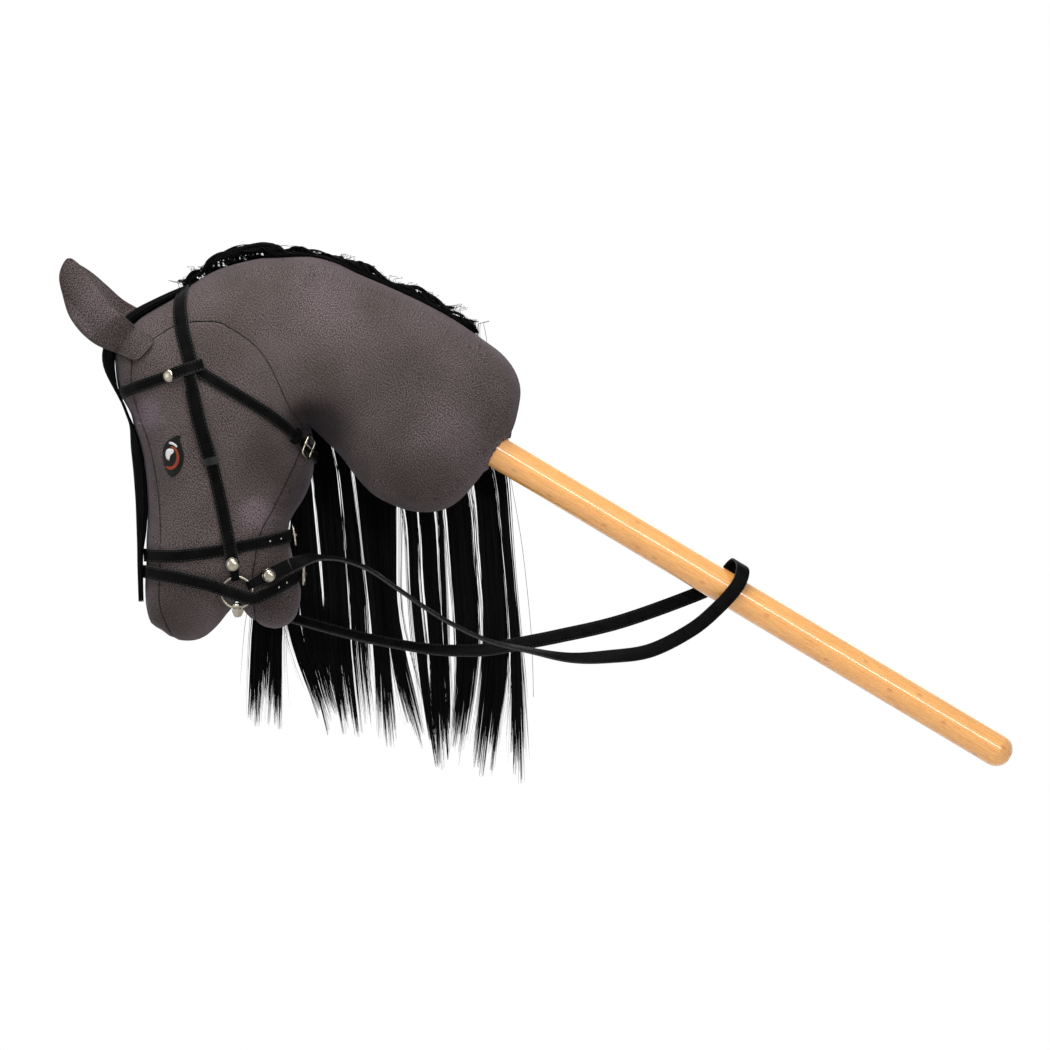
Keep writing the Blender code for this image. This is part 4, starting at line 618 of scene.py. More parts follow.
def wood_look():
    """Varnished beech: warm straw colour, long soft grain, short brown flecks and a clear gloss."""
    look = Look("beech", Roughness=0.38, Coat_Weight=1.0, Coat_Roughness=0.05, Coat_IOR=1.5)
    grain = look.noise(look.place(scale=(0.03, 1.1, 1.1)), 1.6, 4.0, 0.6)
    browns = [(0.3, (0.52, 0.215, 0.042)), (0.55, (0.67, 0.315, 0.075)), (0.8, (0.76, 0.4, 0.12))]
    base = look.ramp(grain, browns)
    fine = look.noise(look.place(scale=(0.16, 2.2, 2.2)), 1.5, 2.0)
    dashes = look.ramp(fine, [(0.60, (0, 0, 0)), (0.70, (1, 1, 1))])
    dashed = look.mix(look.math("MULTIPLY", dashes, 0.6), base, (0.36, 0.12, 0.022))
    spots = look.node("TexVoronoi", {"Vector": look.place(scale=(0.6, 1, 1)), "Scale": 0.046},
                      voronoi_dimensions="2D").outputs["Distance"]
    marks = look.ramp(spots, [(0.055, (1, 1, 1)), (0.09, (0, 0, 0))])
    look.feed(Base_Color=look.mix(look.math("MULTIPLY", marks, 0.55), dashed, (0.42, 0.15, 0.03)))
    look.bump(grain, 0.02)
    return look.material


def plain_look(name, light, dark, scale, depth):
    """A matte fibrous material for what lies inside."""
    look = Look(name, Roughness=0.95)
    fibres = look.noise(look.node("NewGeometry").outputs["Position"], scale, 4.0, 0.7)
    look.feed(Base_Color=look.ramp(fibres, [(0.3, dark), (0.7, light)]))
    look.bump(fibres, depth)
    return look.material


# Making meshes
def add_piece(name, points, faces, look, replaces=(), body="root", lie=None, edge=None, flat_angle=40):
    """A piece from points in millimetres. lie holds its texture coordinates and edge where it is rubbed."""
    points = np.asarray(points, float)
    mesh = bpy.data.meshes.new(name)
    mesh.from_pydata(((points + ENTRY) * MM).tolist(), [], [list(map(int, f)) for f in faces])
    mesh.materials.append(look)
    stored = mesh.attributes.new("lie", "FLOAT_VECTOR", "POINT")
    stored.data.foreach_set("vector", np.asarray(points if lie is None else lie, np.float32).ravel())
    if edge is not None:
        stored = mesh.attributes.new("edge", "FLOAT", "POINT")
        stored.data.foreach_set("value", np.asarray(edge, np.float32))
    mesh.shade_smooth()
    if flat_angle:
        mesh.set_sharp_from_angle(angle=math.radians(flat_angle))
    made = bpy.data.objects.new(name, mesh)
    bpy.context.scene.collection.objects.link(made)
    if replaces:
        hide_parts(*replaces)
    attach(made, body)
    return made


def curve_points(points, step, closed=False):
    """Points of a Catmull-Rom curve through the given ones, which it keeps, at about the given step."""
    given = [np.array(p, float) for p in points]
    count = len(given)
    found = []
    for i in range(count if closed else count - 1):
        a, b = given[i], given[(i + 1) % count]
        before = given[i - 1] if closed or i else 2 * a - b
        after = given[(i + 2) % count] if closed or i + 2 < count else 2 * b - a
        pieces = max(1, round(float(np.linalg.norm((b - a)[:3])) / step))
        t = (np.arange(pieces) / pieces)[:, None]
        found.append(
            0.5 * (2 * a + (b - before) * t + (2 * before - 5 * a + 4 * b - after) * t * t
                   + (3 * a - before - 3 * b + after) * t ** 3)
        )
    if not closed:
        found.append(given[-1][None])
    return np.vstack(found)


def even_points(points, step, closed=False):
    """The same curve with points evenly spaced by their first three values."""
    dense = curve_points(points, step / 6, closed)
    if closed:
        dense = np.vstack([dense, dense[:1]])
    along = distances_along(dense[:, :3])
    pieces = max(2, round(along[-1] / step))
    wanted = np.linspace(0, along[-1], pieces + 1)
    even = np.stack([np.interp(wanted, along, dense[:, k]) for k in range(dense.shape[1])], axis=1)
    return even[:-1] if closed else even


def distances_along(points):
    """How far along its line each point lies."""
    return np.concatenate([[0], np.cumsum(np.linalg.norm(np.diff(points, axis=0), axis=1))])


def distance_to(points, line):
    """Least distance from each 2-D point to a polyline."""
    best = np.full(len(points), np.inf)
    for a, b in zip(line, line[1:]):
        along = b - a
        share = np.clip(((points - a) @ along) / max(along @ along, 1e-9), 0, 1)
        best = np.minimum(best, np.linalg.norm(points - a - share[:, None] * along, axis=1))
    return best


def inside_loop(points, loop):
    """Which 2-D points lie inside a closed loop."""
    inside = np.zeros(len(points), bool)
    for a, b in zip(loop, np.roll(loop, -1, axis=0)):
        spans = (a[1] > points[:, 1]) != (b[1] > points[:, 1])
        rise = b[1] - a[1] if b[1] != a[1] else 1.0
        inside ^= spans & (points[:, 0] < a[0] + (points[:, 1] - a[1]) * (b[0] - a[0]) / rise)
    return inside


def staggered_grid(low, high, step):
    """Points of a grid of even triangles over a box."""
    columns, rows = np.meshgrid(np.arange(low[0], high[0], step), np.arange(low[1], high[1], step * 0.866))
    columns[1::2] += step / 2
    return np.stack([columns.ravel(), rows.ravel()], axis=1)


def thinned(points, spacing, kept):
    """The points that keep their own spacing from one another and from those kept before."""
    room = np.empty((len(points) + len(kept), 2))
    room[:len(kept)] = kept
    count = len(kept)
    for point, away in zip(points, spacing):
        if count == 0 or np.min(np.sum((room[:count] - point) ** 2, axis=1)) > away * away:
            room[count] = point
            count += 1
    return room[:count]


def unit(vectors):
    return vectors / np.maximum(np.linalg.norm(vectors, axis=-1, keepdims=True), 1e-9)


def side_normals(line):
    forward = np.gradient(line, axis=0)
    return unit(np.stack([-forward[:, 1], forward[:, 0]], axis=1))


def vertex_normals(points, faces):
    corners = points[faces]
    cross = np.cross(corners[:, 1] - corners[:, 0], corners[:, 2] - corners[:, 0])
    total = np.zeros_like(points)
    for k in range(3):
        for axis in range(3):
            total[:, axis] += np.bincount(faces[:, k], cross[:, axis], len(points))
    return unit(total)


def border_edges(faces):
    """Directed edges that only one face has."""
    held = {(int(f[k]), int(f[(k + 1) % 3])) for f in faces for k in range(3)}
    return sorted((a, b) for a, b in held if (b, a) not in held)


def only_used(arrays, faces):
    """The arrays cut down to the points that the faces use, and the faces renumbered."""
    used = sorted({int(i) for face in faces for i in face})
    number = {old: new for new, old in enumerate(used)}
    return [np.asarray(a)[used] for a in arrays], [[number[int(i)] for i in face] for face in faces]


class StuffedForm:
    """The sewn head and neck: flat panels in side view, rounded out as firm stuffing rounds them."""

    def __init__(self):
        self.points = []
        neck, jaw, mouth, face = (self.line(part) for part in self.outline_parts())
        seams = {
            name: self.line(curve_points(seam, GRID))
            for name, seam in (("poll", POLL_SEAM), ("cheek", CHEEK_SEAM), ("throat", THROAT_SEAM),
                               ("face", FACE_SEAM), ("jaw", JAW_SEAM))
        }
        self.regions = {
            "neck": neck + seams["throat"][::-1][1:] + seams["cheek"][::-1][1:] + seams["poll"][::-1][1:-1],
            "jaw": seams["throat"] + jaw[1:] + seams["jaw"][::-1][1:-1],
            "cheek": seams["cheek"] + seams["jaw"][1:] + mouth[1:] + seams["face"][::-1][1:-1],
            "face": seams["poll"] + seams["face"][1:] + face[1:-1],
        }
        self.rim = neck + jaw[1:] + mouth[1:] + face[1:-1]
        self.seam_lines = [np.array([self.points[i] for i in seam]) for seam in seams.values()]
        self.points = np.array(self.points)
        self.fill()
        self.triangulate()
        self.raise_sheets()

    def outline_parts(self):
        """The outline as four open runs that share their end points."""
        lists = [NECK_EDGE, JAW_EDGE, MOUTH_EDGE, FACE_EDGE]
        whole = curve_points([p for part in lists for p in part], GRID, closed=True)
        starts = [int(np.argmin(np.linalg.norm(whole - np.array(part[0]), axis=1))) for part in lists]
        starts.append(len(whole))
        whole = np.vstack([whole, whole[:1]])
        return [whole[a:b + 1] for a, b in zip(starts, starts[1:])]

    def line(self, points):
        """Numbers of the given points, each stored once."""
        numbers = []
        for point in points:
            near = [i for i, q in enumerate(self.points) if np.linalg.norm(q - point) < 0.01]
            numbers.append(near[0] if near else len(self.points))
            if not near:
                self.points.append(np.array(point, float))
        return numbers

    def fill(self):
        """Rows close to the edge and the seams, where the form curves most, and an even grid between."""
        rim = self.points[self.rim]
        closed_rim = np.vstack([rim, rim[:1]])
        forward = np.roll(rim, -1, axis=0) - np.roll(rim, 1, axis=0)
        area = np.sum(rim[:, 0] * np.roll(rim[:, 1], -1) - np.roll(rim[:, 0], -1) * rim[:, 1])
        inward = unit(np.stack([-forward[:, 1], forward[:, 0]], axis=1)) * np.sign(area)
        candidates, spacing = [], []
        for depth in SEAM_ROWS:
            for seam in self.seam_lines:
                normals = side_normals(seam)
                for sign in (1, -1):
                    candidates.append(seam + normals * depth * sign)
                    spacing.append(np.full(len(seam), 0.75 * depth))
        for depth in RIM_ROWS:
            row = rim + inward * depth
            row = row[distance_to(row, closed_rim) > 0.93 * depth]
            candidates.append(row)
            spacing.append(np.full(len(row), min(0.6 * GRID, 1.3 * depth)))
        grid = staggered_grid(rim.min(axis=0), rim.max(axis=0), GRID)
        grid = grid[distance_to(grid, closed_rim) > RIM_ROWS[-1] + 0.4 * GRID]
        candidates.append(grid)
        spacing.append(np.full(len(grid), 0.7 * GRID))
        candidates, spacing = np.vstack(candidates), np.concatenate(spacing)
        inside = inside_loop(candidates, rim)
        candidates, spacing = candidates[inside], spacing[inside]
        away = distance_to(candidates, closed_rim)
        keep = away > 0.25
        keep &= np.min([distance_to(candidates, seam) for seam in self.seam_lines], axis=0) > 0.4
        self.points = thinned(candidates[keep], spacing[keep], self.points)

    def triangulate(self):
        loops = list(self.regions.values())
        flat = [Vector(p) for p in self.points.tolist()]
        points, _, faces, first, _, _ = delaunay_2d_cdt(flat, [], loops, 1, 1e-6, True)
        self.flat = np.array([(p.x, p.y) for p in points])
        faces = np.array(faces)
        centres = self.flat[faces].mean(axis=1)
        owner = np.full(len(faces), -1)
        for number, loop in enumerate(loops):
            owner[inside_loop(centres, self.points[loop])] = number
        self.faces, self.owner = faces[owner >= 0], owner[owner >= 0]
        rim = set(self.rim)
        self.on_rim = np.array([any(i in rim for i in ids) for ids in first])
        corners = self.flat[self.faces]
        ab, ac = corners[:, 1] - corners[:, 0], corners[:, 2] - corners[:, 0]
        clockwise = ab[:, 0] * ac[:, 1] - ab[:, 1] * ac[:, 0] < 0
        self.faces[clockwise] = self.faces[clockwise][:, ::-1]

    def half_width(self):
        """How far the stuffing pushes each point out: the root of the shape that a soap film takes."""
        corners = self.flat[self.faces]
        sides = np.roll(corners, -2, axis=1) - np.roll(corners, -1, axis=1)
        area = 0.5 * np.abs(sides[:, 0, 0] * sides[:, 1, 1] - sides[:, 0, 1] * sides[:, 1, 0])
        rows, columns, values = [], [], []
        for i in range(3):
            for j in range(3):
                rows.append(self.faces[:, i])
                columns.append(self.faces[:, j])
                values.append(np.sum(sides[:, i] * sides[:, j], axis=1) / (4 * area))
        rows, columns, values = np.concatenate(rows), np.concatenate(columns), np.concatenate(values)
        count = len(self.flat)
        free = ~self.on_rim
        load = np.where(free, np.bincount(self.faces.ravel(), np.repeat(area / 3, 3), count), 0)
        diagonal = np.bincount(rows[rows == columns], values[rows == columns], count)
        height = np.zeros(count)
        left = load.copy()
        step = left / diagonal
        ahead = left @ step
        for _ in range(FILM_ROUNDS):
            pushed = np.where(free, np.bincount(rows, values * step[columns], count), 0)
            share = ahead / (step @ pushed)
            height += share * step
            left -= share * pushed
            eased = left / diagonal
            now = left @ eased
            if now < 1e-9:
                break
            step = eased + now / ahead * step
            ahead = now
        return FULLNESS * np.sqrt(2 * np.maximum(height, 0))

    def raise_sheets(self):
        """Both sides as one closed surface, grooved at the seams and slightly uneven from the stuffing."""
        width = self.half_width()
        count = len(self.flat)
        near = np.stack([self.flat[:, 0], -width, self.flat[:, 1]], axis=1)
        inner = np.flatnonzero(~self.on_rim)
        far_number = np.arange(count)
        far_number[inner] = count + np.arange(len(inner))
        self.outer = np.vstack([near, near[inner] * (1, -1, 1)])
        self.near_faces = self.faces
        self.far_faces = far_number[self.faces][:, ::-1]
        self.all_faces = np.vstack([self.near_faces, self.far_faces])
        self.lie = self.cloth_lie(near)
        self.lie = np.vstack([self.lie, self.lie[inner] + (FAR_LIE, 0, 0)])
        normals = vertex_normals(self.outer, self.all_faces)
        seam = np.min([distance_to(self.flat, line) for line in self.seam_lines], axis=0)
        seam = np.concatenate([seam, seam[inner]])
        along = self.outer @ np.array((0.8, 0.3, 0.6))
        depth = GROOVE_DEPTH * np.exp(-(seam / GROOVE_WIDTH) ** 2)
        pucker = PUCKER_HEIGHT * np.sin(along * 1.5) * np.exp(-(seam / 4.0) ** 2)
        places = [Vector(p) for p in self.outer]
        lumps = np.array([noise.noise(p / LUMP_SIZE) + 0.4 * noise.noise(p / FINE_LUMP) for p in places])
        rim_away = np.concatenate([width, width[inner]])
        lumps *= LUMP_HEIGHT * np.clip(rim_away / 20, 0, 1)
        self.outer = self.outer + normals * (lumps + pucker - depth)[:, None]
        self.outer[:count][self.on_rim, 1] = 0
        self.outer = self.round_stick(self.outer)
        self.normals = vertex_normals(self.outer, self.all_faces)

    def round_stick(self, points):
        """The cloth drawn in round the stick where it leaves the neck, and its covered faces left out."""
        down = points @ STICK_DOWN
        off = points - down[:, None] * STICK_DOWN
        away = np.linalg.norm(off, axis=1)
        near_hole = down > -HOLE_DEPTH
        self.hole = near_hole & (away < 0.6 * STICK_RADIUS)
        collar = STICK_RADIUS + GAP
        pushed = near_hole & (away < collar) & ~self.hole
        moved = points.copy()
        moved[pushed] = down[pushed, None] * STICK_DOWN + unit(off[pushed]) * collar
        return moved

    def cloth_lie(self, sheet):
        """Where each point lay on the flat cloth, eased until every edge has its true length."""
        edges = np.vstack([self.faces[:, [0, 1]], self.faces[:, [1, 2]], self.faces[:, [2, 0]]])
        edges = np.unique(np.sort(edges), axis=0)
        a, b = edges.T
        rest = np.linalg.norm(sheet[a] - sheet[b], axis=1)
        count = len(sheet)
        lie = self.flat.copy()
        share = 0.5 * 1.6 / np.bincount(np.concatenate([a, b]), minlength=count)
        for _ in range(LIE_ROUNDS):
            apart = lie[b] - lie[a]
            size = np.maximum(np.linalg.norm(apart, axis=1), 1e-6)
            pull = apart * ((size - rest) / size)[:, None]
            for axis in (0, 1):
                move = np.bincount(a, pull[:, axis], count) - np.bincount(b, pull[:, axis], count)
                lie[:, axis] += move * share
        return np.hstack([lie, np.zeros((count, 1))])

    def region_faces(self, regions, sides, whole=False):
        names = list(self.regions)
        picked = []
        for region in regions:
            mine = self.owner == names.index(region)
            if NEAR in sides:
                picked.append(self.near_faces[mine])
            if FAR in sides:
                picked.append(self.far_faces[mine])
        picked = np.vstack(picked)
        return picked if whole else picked[~np.any(self.hole[picked], axis=1)]

    def drawn_in(self, faces, depth):
        """Points of the surface moved inwards, and away from the borders of the given faces by half a gap."""
        shift = np.zeros_like(self.outer)
        holders = {}
        for f in faces:
            for k in range(3):
                holders[(int(f[k]), int(f[(k + 1) % 3]))] = f
        for a, b in border_edges(faces):
            face = holders[(a, b)]
            corner = self.outer[face]
            normal = np.cross(corner[1] - corner[0], corner[2] - corner[0])
            side = np.cross(normal, self.outer[b] - self.outer[a])
            side = unit(side)
            shift[a] += side
            shift[b] += side
        return self.outer + unit(shift) * (GAP / 2 + 0.02) - self.normals * depth

    def panel(self, name, regions, sides, look, replaces):
        """A cloth panel with the fabric's thickness."""
        faces = self.region_faces(regions, sides)
        outside, inside = self.drawn_in(faces, 0), self.drawn_in(faces, FABRIC)
        count = len(outside)
        rim = [(b, a, a + count, b + count) for a, b in border_edges(faces)]
        everything = [tuple(f) for f in faces] + [tuple(f[::-1] + count) for f in faces] + rim
        (points, lie), everything = only_used(
            [np.vstack([outside, inside]), np.vstack([self.lie, self.lie])], everything
        )
        made = add_piece(name, points, everything, look, [replaces], lie=lie,
                         flat_angle=60)
        span = self.lie[np.unique(faces)][:, :2]
        span[:, 0] -= np.where(span[:, 0] > FAR_LIE / 2, FAR_LIE, 0)
        size = span.max(axis=0) - span.min(axis=0)
        size = np.maximum(size * (len(sides), 1), 20)

    def stuffing(self, name, regions, look, replaces):
        faces = self.region_faces(regions, (NEAR, FAR), whole=True)
        points = self.drawn_in(faces, FABRIC + GAP)
        twin = {}
        for near, far in zip(self.near_faces.reshape(-1), self.far_faces[:, ::-1].reshape(-1)):
            twin[int(near)] = int(far)
        everything = [tuple(f) for f in faces]
        for a, b in border_edges(faces):
            if a in twin and b in twin:
                corners = [b, a, twin[a], twin[b]]
                corners = [c for k, c in enumerate(corners) if c not in corners[:k]]
                if len(corners) > 2:
                    everything.append(tuple(corners))
        (points,), everything = only_used([points], everything)
        made = add_piece(name, points, everything, look, [replaces], flat_angle=60)


class Ground:
    """What a strap or a lock of hair lies on: the stuffed form and every piece laid on it so far."""

    def __init__(self, points, faces):
        self.points = [tuple(p) for p in points]
        self.faces = [tuple(map(int, f)) for f in faces]
        self.body = BVHTree.FromPolygons(self.points, self.faces)
        self.tree = self.body

    def add(self, points, faces):
        start = len(self.points)
        self.points += [tuple(map(float, p)) for p in points]
        self.faces += [tuple(int(i) + start for i in f) for f in faces]
        self.tree = BVHTree.FromPolygons(self.points, self.faces)

    def side_point(self, x, z, side):
        hit = self.body.ray_cast(Vector((x, 400 * side, z)), Vector((0, -side, 0)))[0]
        return np.array(hit) if hit else np.array((x, 0.0, z))

    def side_height(self, x, z, side):
        hit = self.tree.ray_cast(Vector((x, 400 * side, z)), Vector((0, -side, 0)))[0]
        return side * hit.y if hit else 0.0

    def highest_near(self, x, z, side, reach):
        around = ((0, 0), (reach, 0), (-reach, 0), (0, reach), (0, -reach))
        return max(self.side_height(x + dx, z + dz, side) for dx, dz in around)


def strap_path(ground, stops, closed):
    """A taut path on the body through the stops, each (x, z, side)."""
    fixed = [ground.side_point(x, z, s) if s else np.array((x, 0.0, z)) for x, z, s in stops]
    path = even_points(fixed, STRAP_STEP, closed)
    pinned = {int(np.argmin(np.linalg.norm(path - stop, axis=1))) for stop in fixed}
    share = np.array([0.15 if i in pinned else 0.5 for i in range(len(path))])[:, None]
    if not closed:
        share[[0, -1]] = 0
    for _ in range(EASE_ROUNDS):
        before, after = np.roll(path, 1, axis=0), np.roll(path, -1, axis=0)
        if not closed:
            before[0], after[-1] = path[0], path[-1]
        moved = path + ((before + after) / 2 - path) * share
        path = np.array([ground.body.find_nearest(Vector(p))[0] for p in moved])
    return path


def strap_frames(ground, path, closed):
    """Along, across and out directions at each point of a path on the body."""
    if closed:
        along = np.roll(path, -1, axis=0) - np.roll(path, 1, axis=0)
    else:
        along = np.gradient(path, axis=0)
    along = unit(along)
    out = np.array([ground.body.find_nearest(Vector(p))[1] for p in path])
    for _ in range(3):
        sides = (np.roll(out, 1, axis=0) + np.roll(out, -1, axis=0)) / 2
        if not closed:
            sides[0], sides[-1] = out[0], out[-1]
        out = (out + sides) / 2
    across = unit(np.cross(along, out))
    return along, across, np.cross(across, along)


def strap_lift(ground, path, along, across, out, width, closed):
    """How far each section must stand off so that its whole width clears what lies under it."""
    lift = []
    for point, ahead, side, up in zip(path, along, across, out):
        tops = [0.0]
        for share in np.linspace(-0.5, 0.5, 7):
            for forward in (-0.5, -0.25, 0, 0.25, 0.5):
                start = point + side * share * width + ahead * forward * STRAP_STEP + up * LIFT_REACH
                hit = ground.tree.ray_cast(Vector(start), Vector(-up), 2 * LIFT_REACH)
                if hit[0]:
                    tops.append(LIFT_REACH - hit[3])
        lift.append(max(tops))
    lift = np.array(lift)
    for spread in (True, False):
        before, after = np.roll(lift, 1), np.roll(lift, -1)
        if not closed:
            before[0], after[-1] = lift[0], lift[-1]
        wide = np.maximum(before, after) if spread else (before + 2 * lift + after) / 4
        lift = np.maximum(lift, wide)
    return lift


def swept_faces(size, count, closed=False, start=0):
    """Faces round a row of rings of points, and a cap on either end unless the row is closed."""
    faces = []
    for i in range(count if closed else count - 1):
        a, b = start + size * i, start + size * ((i + 1) % count)
        faces += [(a + k, a + (k + 1) % size, b + (k + 1) % size, b + k) for k in range(size)]
    if not closed:
        last = start + size * (count - 1)
        faces += [tuple(range(start + size - 1, start - 1, -1)), tuple(range(last, last + size))]
    return faces


def band(points, across, out, profile, closed):
    """Points, faces and stored values of a strap swept with a profile of (across, up) points."""
    profile = np.array(profile, float)
    count, size = len(points), len(profile)
    ring = (points[:, None] + across[:, None] * profile[None, :, :1] + out[:, None] * profile[None, :, 1:])
    travelled = np.repeat(distances_along(points), size)
    lie = np.stack([travelled, np.tile(profile[:, 0], count), np.tile(profile[:, 1], count)], axis=1)
    half = np.max(np.abs(profile[:, 0]))
    edge = np.tile(np.clip((np.abs(profile[:, 0]) - half + 0.6) / 0.6, 0, 1), count)
    corners = ring.reshape(-1, 3)
    return corners, facing_out(corners, swept_faces(size, count, closed)), lie, edge


def facing_out(points, faces):
    """The faces turned so that the solid's volume is positive."""
    volume = 0.0
    for face in faces:
        a = points[face[0]]
        for i, j in zip(face[1:], face[2:]):
            volume += float(np.dot(a, np.cross(points[i], points[j])))
    return faces if volume > 0 else [tuple(f[::-1]) for f in faces]


def plain_profile(width, thickness):
    half = width / 2
    return [(-half, 0), (half, 0), (half, thickness), (-half, thickness)]


def sewn_profile(width, thickness):
    """A strap's section: rounded edges, a shallow line where it is sewn and a slight crown."""
    half = width / 2
    right = [
        (half - 0.8, 0.0), (half - 0.2, 0.12 * thickness), (half, 0.4 * thickness), (half, 0.66 * thickness),
        (half - 0.22, 0.9 * thickness), (half - 0.8, thickness), (half - STITCH_INSET, 0.84 * thickness),
        (half - STITCH_INSET - 0.7, thickness), (half * 0.4, 1.03 * thickness),
    ]
    return right + [(-a, b) for a, b in right[::-1]]


def make_strap(name, sections, width, looks, closed=False, sewn=True, replaces=()):
    """The strap that lies where the sections are, and its rows of stitches."""
    stack = np.hstack([sections["inner"], sections["across"], sections["out"]])
    fine = even_points(stack, FINE_STEP, closed)
    points = fine[:, :3]
    out, across = unit(fine[:, 6:9]), unit(fine[:, 3:6])
    corners, faces, lie, edge = band(points, across, out, sewn_profile(width, STRAP_THICKNESS), closed)
    add_piece(name + "_leather", corners, faces, looks["leather"], replaces, lie=lie, edge=edge)
    if sewn:
        offsets = [(s * (width / 2 - STITCH_INSET), 0.84 * STRAP_THICKNESS) for s in (-1, 1)]
        make_stitches(name + "_stitches", points, across, out, offsets, closed, looks["thread"])


def make_stitches(name, points, across, out, offsets, closed, look):
    """Rows of short raised threads along a strap."""
    if closed:
        points, across, out = (np.vstack([a, a[:1]]) for a in (points, across, out))
    travelled = distances_along(points)
    count = int((travelled[-1] - STITCH_PITCH) / STITCH_PITCH)
    starts = np.linspace(STITCH_PITCH * 0.6, travelled[-1] - STITCH_PITCH, max(count, 2))
    corners, faces = [], []
    shape = [(0, 0.45, -0.5), (0.25, 1, 0.25), (0.75, 1, 0.25), (1, 0.45, -0.5)]
    turns = np.array([(math.cos(a), math.sin(a)) for a in (math.tau * k / 5 for k in range(5))])
    for side, height in offsets:
        for start in starts:
            base = len(corners)
            for share, fat, rise in shape:
                at = start + share * STITCH_LENGTH
                middle, wide, up = (
                    np.array([np.interp(at, travelled, a[:, k]) for k in range(3)])
                    for a in (points, across, out)
                )
                middle = middle + wide * side + up * (height + rise * STITCH_RADIUS)
                for c, s in turns:
                    corners.append(middle + (wide * c + up * s) * STITCH_RADIUS * fat)
            faces += swept_faces(len(turns), len(shape), start=base)
    faces = facing_out(np.array(corners), faces)
    return add_piece(name, corners, faces, look, flat_angle=0)


def lay_strap(ground, stops, width=STRAP_WIDTH, closed=False):
    """Sections of a strap on the body through the stops."""
    path = strap_path(ground, stops, closed)
    along, across, out = strap_frames(ground, path, closed)
    lift = strap_lift(ground, path, along, across, out, width, closed) + STRAP_GAP
    inner = path + out * lift[:, None]
    points, faces, _, _ = band(inner, across, out, plain_profile(width, STRAP_THICKNESS), closed)
    ground.add(points, faces)
    return {"inner": inner, "along": along, "across": across, "out": out}


def lay_taut_loop(ground, route):
    """Sections of a strap drawn tight round the muzzle and everything on it, along a route in side view."""
    route = np.array(route, float)
    hull = []
    for x in np.arange(route[0][0] - STRAP_WIDTH, route[-1][0] + STRAP_WIDTH, 1.5):
        z = float(np.interp(x, route[:, 0], route[:, 1]))
        across = np.linspace(-0.6, 0.6, 9) * STRAP_WIDTH
        reach = max(ground.side_height(x, z + off, side) for off in across for side in (NEAR, FAR))
        if reach > 0:
            hull += [(x, -reach), (x, reach)]
    hull = np.array(hull)
    loop = hull[[int(i) for i in convex_hull_2d([Vector(p) for p in hull])]]
    rounded = np.vstack([loop, loop[:1]])
    along = distances_along(rounded)
    wanted = np.linspace(0, along[-1], round(along[-1] / STRAP_STEP) + 1)[:-1]
    loop = np.stack([np.interp(wanted, along, rounded[:, k]) for k in range(2)], axis=1)
    along = np.roll(loop, -1, axis=0) - np.roll(loop, 1, axis=0)
    turn = np.sign(np.sum(loop[:, 0] * np.roll(loop[:, 1], -1) - np.roll(loop[:, 0], -1) * loop[:, 1]))
    outward = unit(np.stack([along[:, 1], -along[:, 0]], axis=1) * turn)
    loop = loop + outward * (STRAP_GAP + 2 * GAP)
    heights = np.interp(loop[:, 0], route[:, 0], route[:, 1])
    inner = np.stack([loop[:, 0], loop[:, 1], heights], axis=1)
    along = unit(np.roll(inner, -1, axis=0) - np.roll(inner, 1, axis=0))
    across = unit(np.cross(along, np.stack([outward[:, 0], outward[:, 1], 0 * heights], axis=1)))
    out = np.cross(across, along)
    points, faces, _, _ = band(inner, across, out, plain_profile(STRAP_WIDTH, STRAP_THICKNESS), True)
    ground.add(points, faces)
    return {"inner": inner, "along": along, "across": across, "out": out}


def on_side(stops, side):
    return [(x, z, side) for x, z in stops]


def there_and_back(near, middle):
    """Stops along the near side, over the middle and back along the far side."""
    return on_side(near, NEAR) + [(*middle, RIDGE)] + on_side(near[::-1], FAR)


def cad_joint(name):
    """A joint's place in the pattern's frame and its axis."""
    found = {joint["name"]: joint for joint in frame["joints"]}[name]
    return np.array(found["pos_m"]) / MM - ENTRY, unit(np.array(found["axis"], float))


def cad_points(node):
    """A CAD node's points in the pattern's frame."""
    mesh = frame["nodes"][node].data
    found = np.empty(len(mesh.vertices) * 3, np.float32)
    mesh.vertices.foreach_get("co", found)
    return found.reshape(-1, 3).astype(float) / MM - ENTRY


def flat_frame(node, outward):
    """A flat round or square CAD piece's lowest middle point and outward direction."""
    points = cad_points(node)
    middle = (points.max(axis=0) + points.min(axis=0)) / 2
    _, _, axes = np.linalg.svd(points - points.mean(axis=0), full_matrices=False)
    out = axes[2] if axes[2] @ np.array(outward, float) > 0 else -axes[2]
    low = np.min((points - middle) @ out)
    return middle + out * low, out


def frame_round(out, ahead):
    """A rotation with Z along out and X near ahead."""
    out = unit(np.array(out, float))
    x = np.array(ahead, float)
    x = unit(x - out * (x @ out))
    return np.stack([x, np.cross(out, x), out], axis=1)


def turned(profile, sides):
    """Points and faces turned about Z from (radius, height) points, whose ends lie on the axis or meet."""
    points, faces = [], []
    rings = []
    for r, z in profile:
        if r < 1e-6:
            rings.append([len(points)] * sides)
            points.append((0.0, 0.0, z))
        else:
            rings.append(list(range(len(points), len(points) + sides)))
            turns = [math.tau * k / sides for k in range(sides)]
            points += [(r * math.cos(turn), r * math.sin(turn), z) for turn in turns]
    pairs = list(zip(rings, rings[1:]))
    if profile[0][0] > 1e-6:
        pairs.append((rings[-1], rings[0]))
    for low, high in pairs:
        for k in range(sides):
            n = (k + 1) % sides
            corners = [low[k], low[n], high[n], high[k]]
            corners = [c for i, c in enumerate(corners) if c not in corners[:i]]
            if len(corners) > 2:
                faces.append(tuple(corners))
    points = np.array(points)
    return points, facing_out(points, faces)


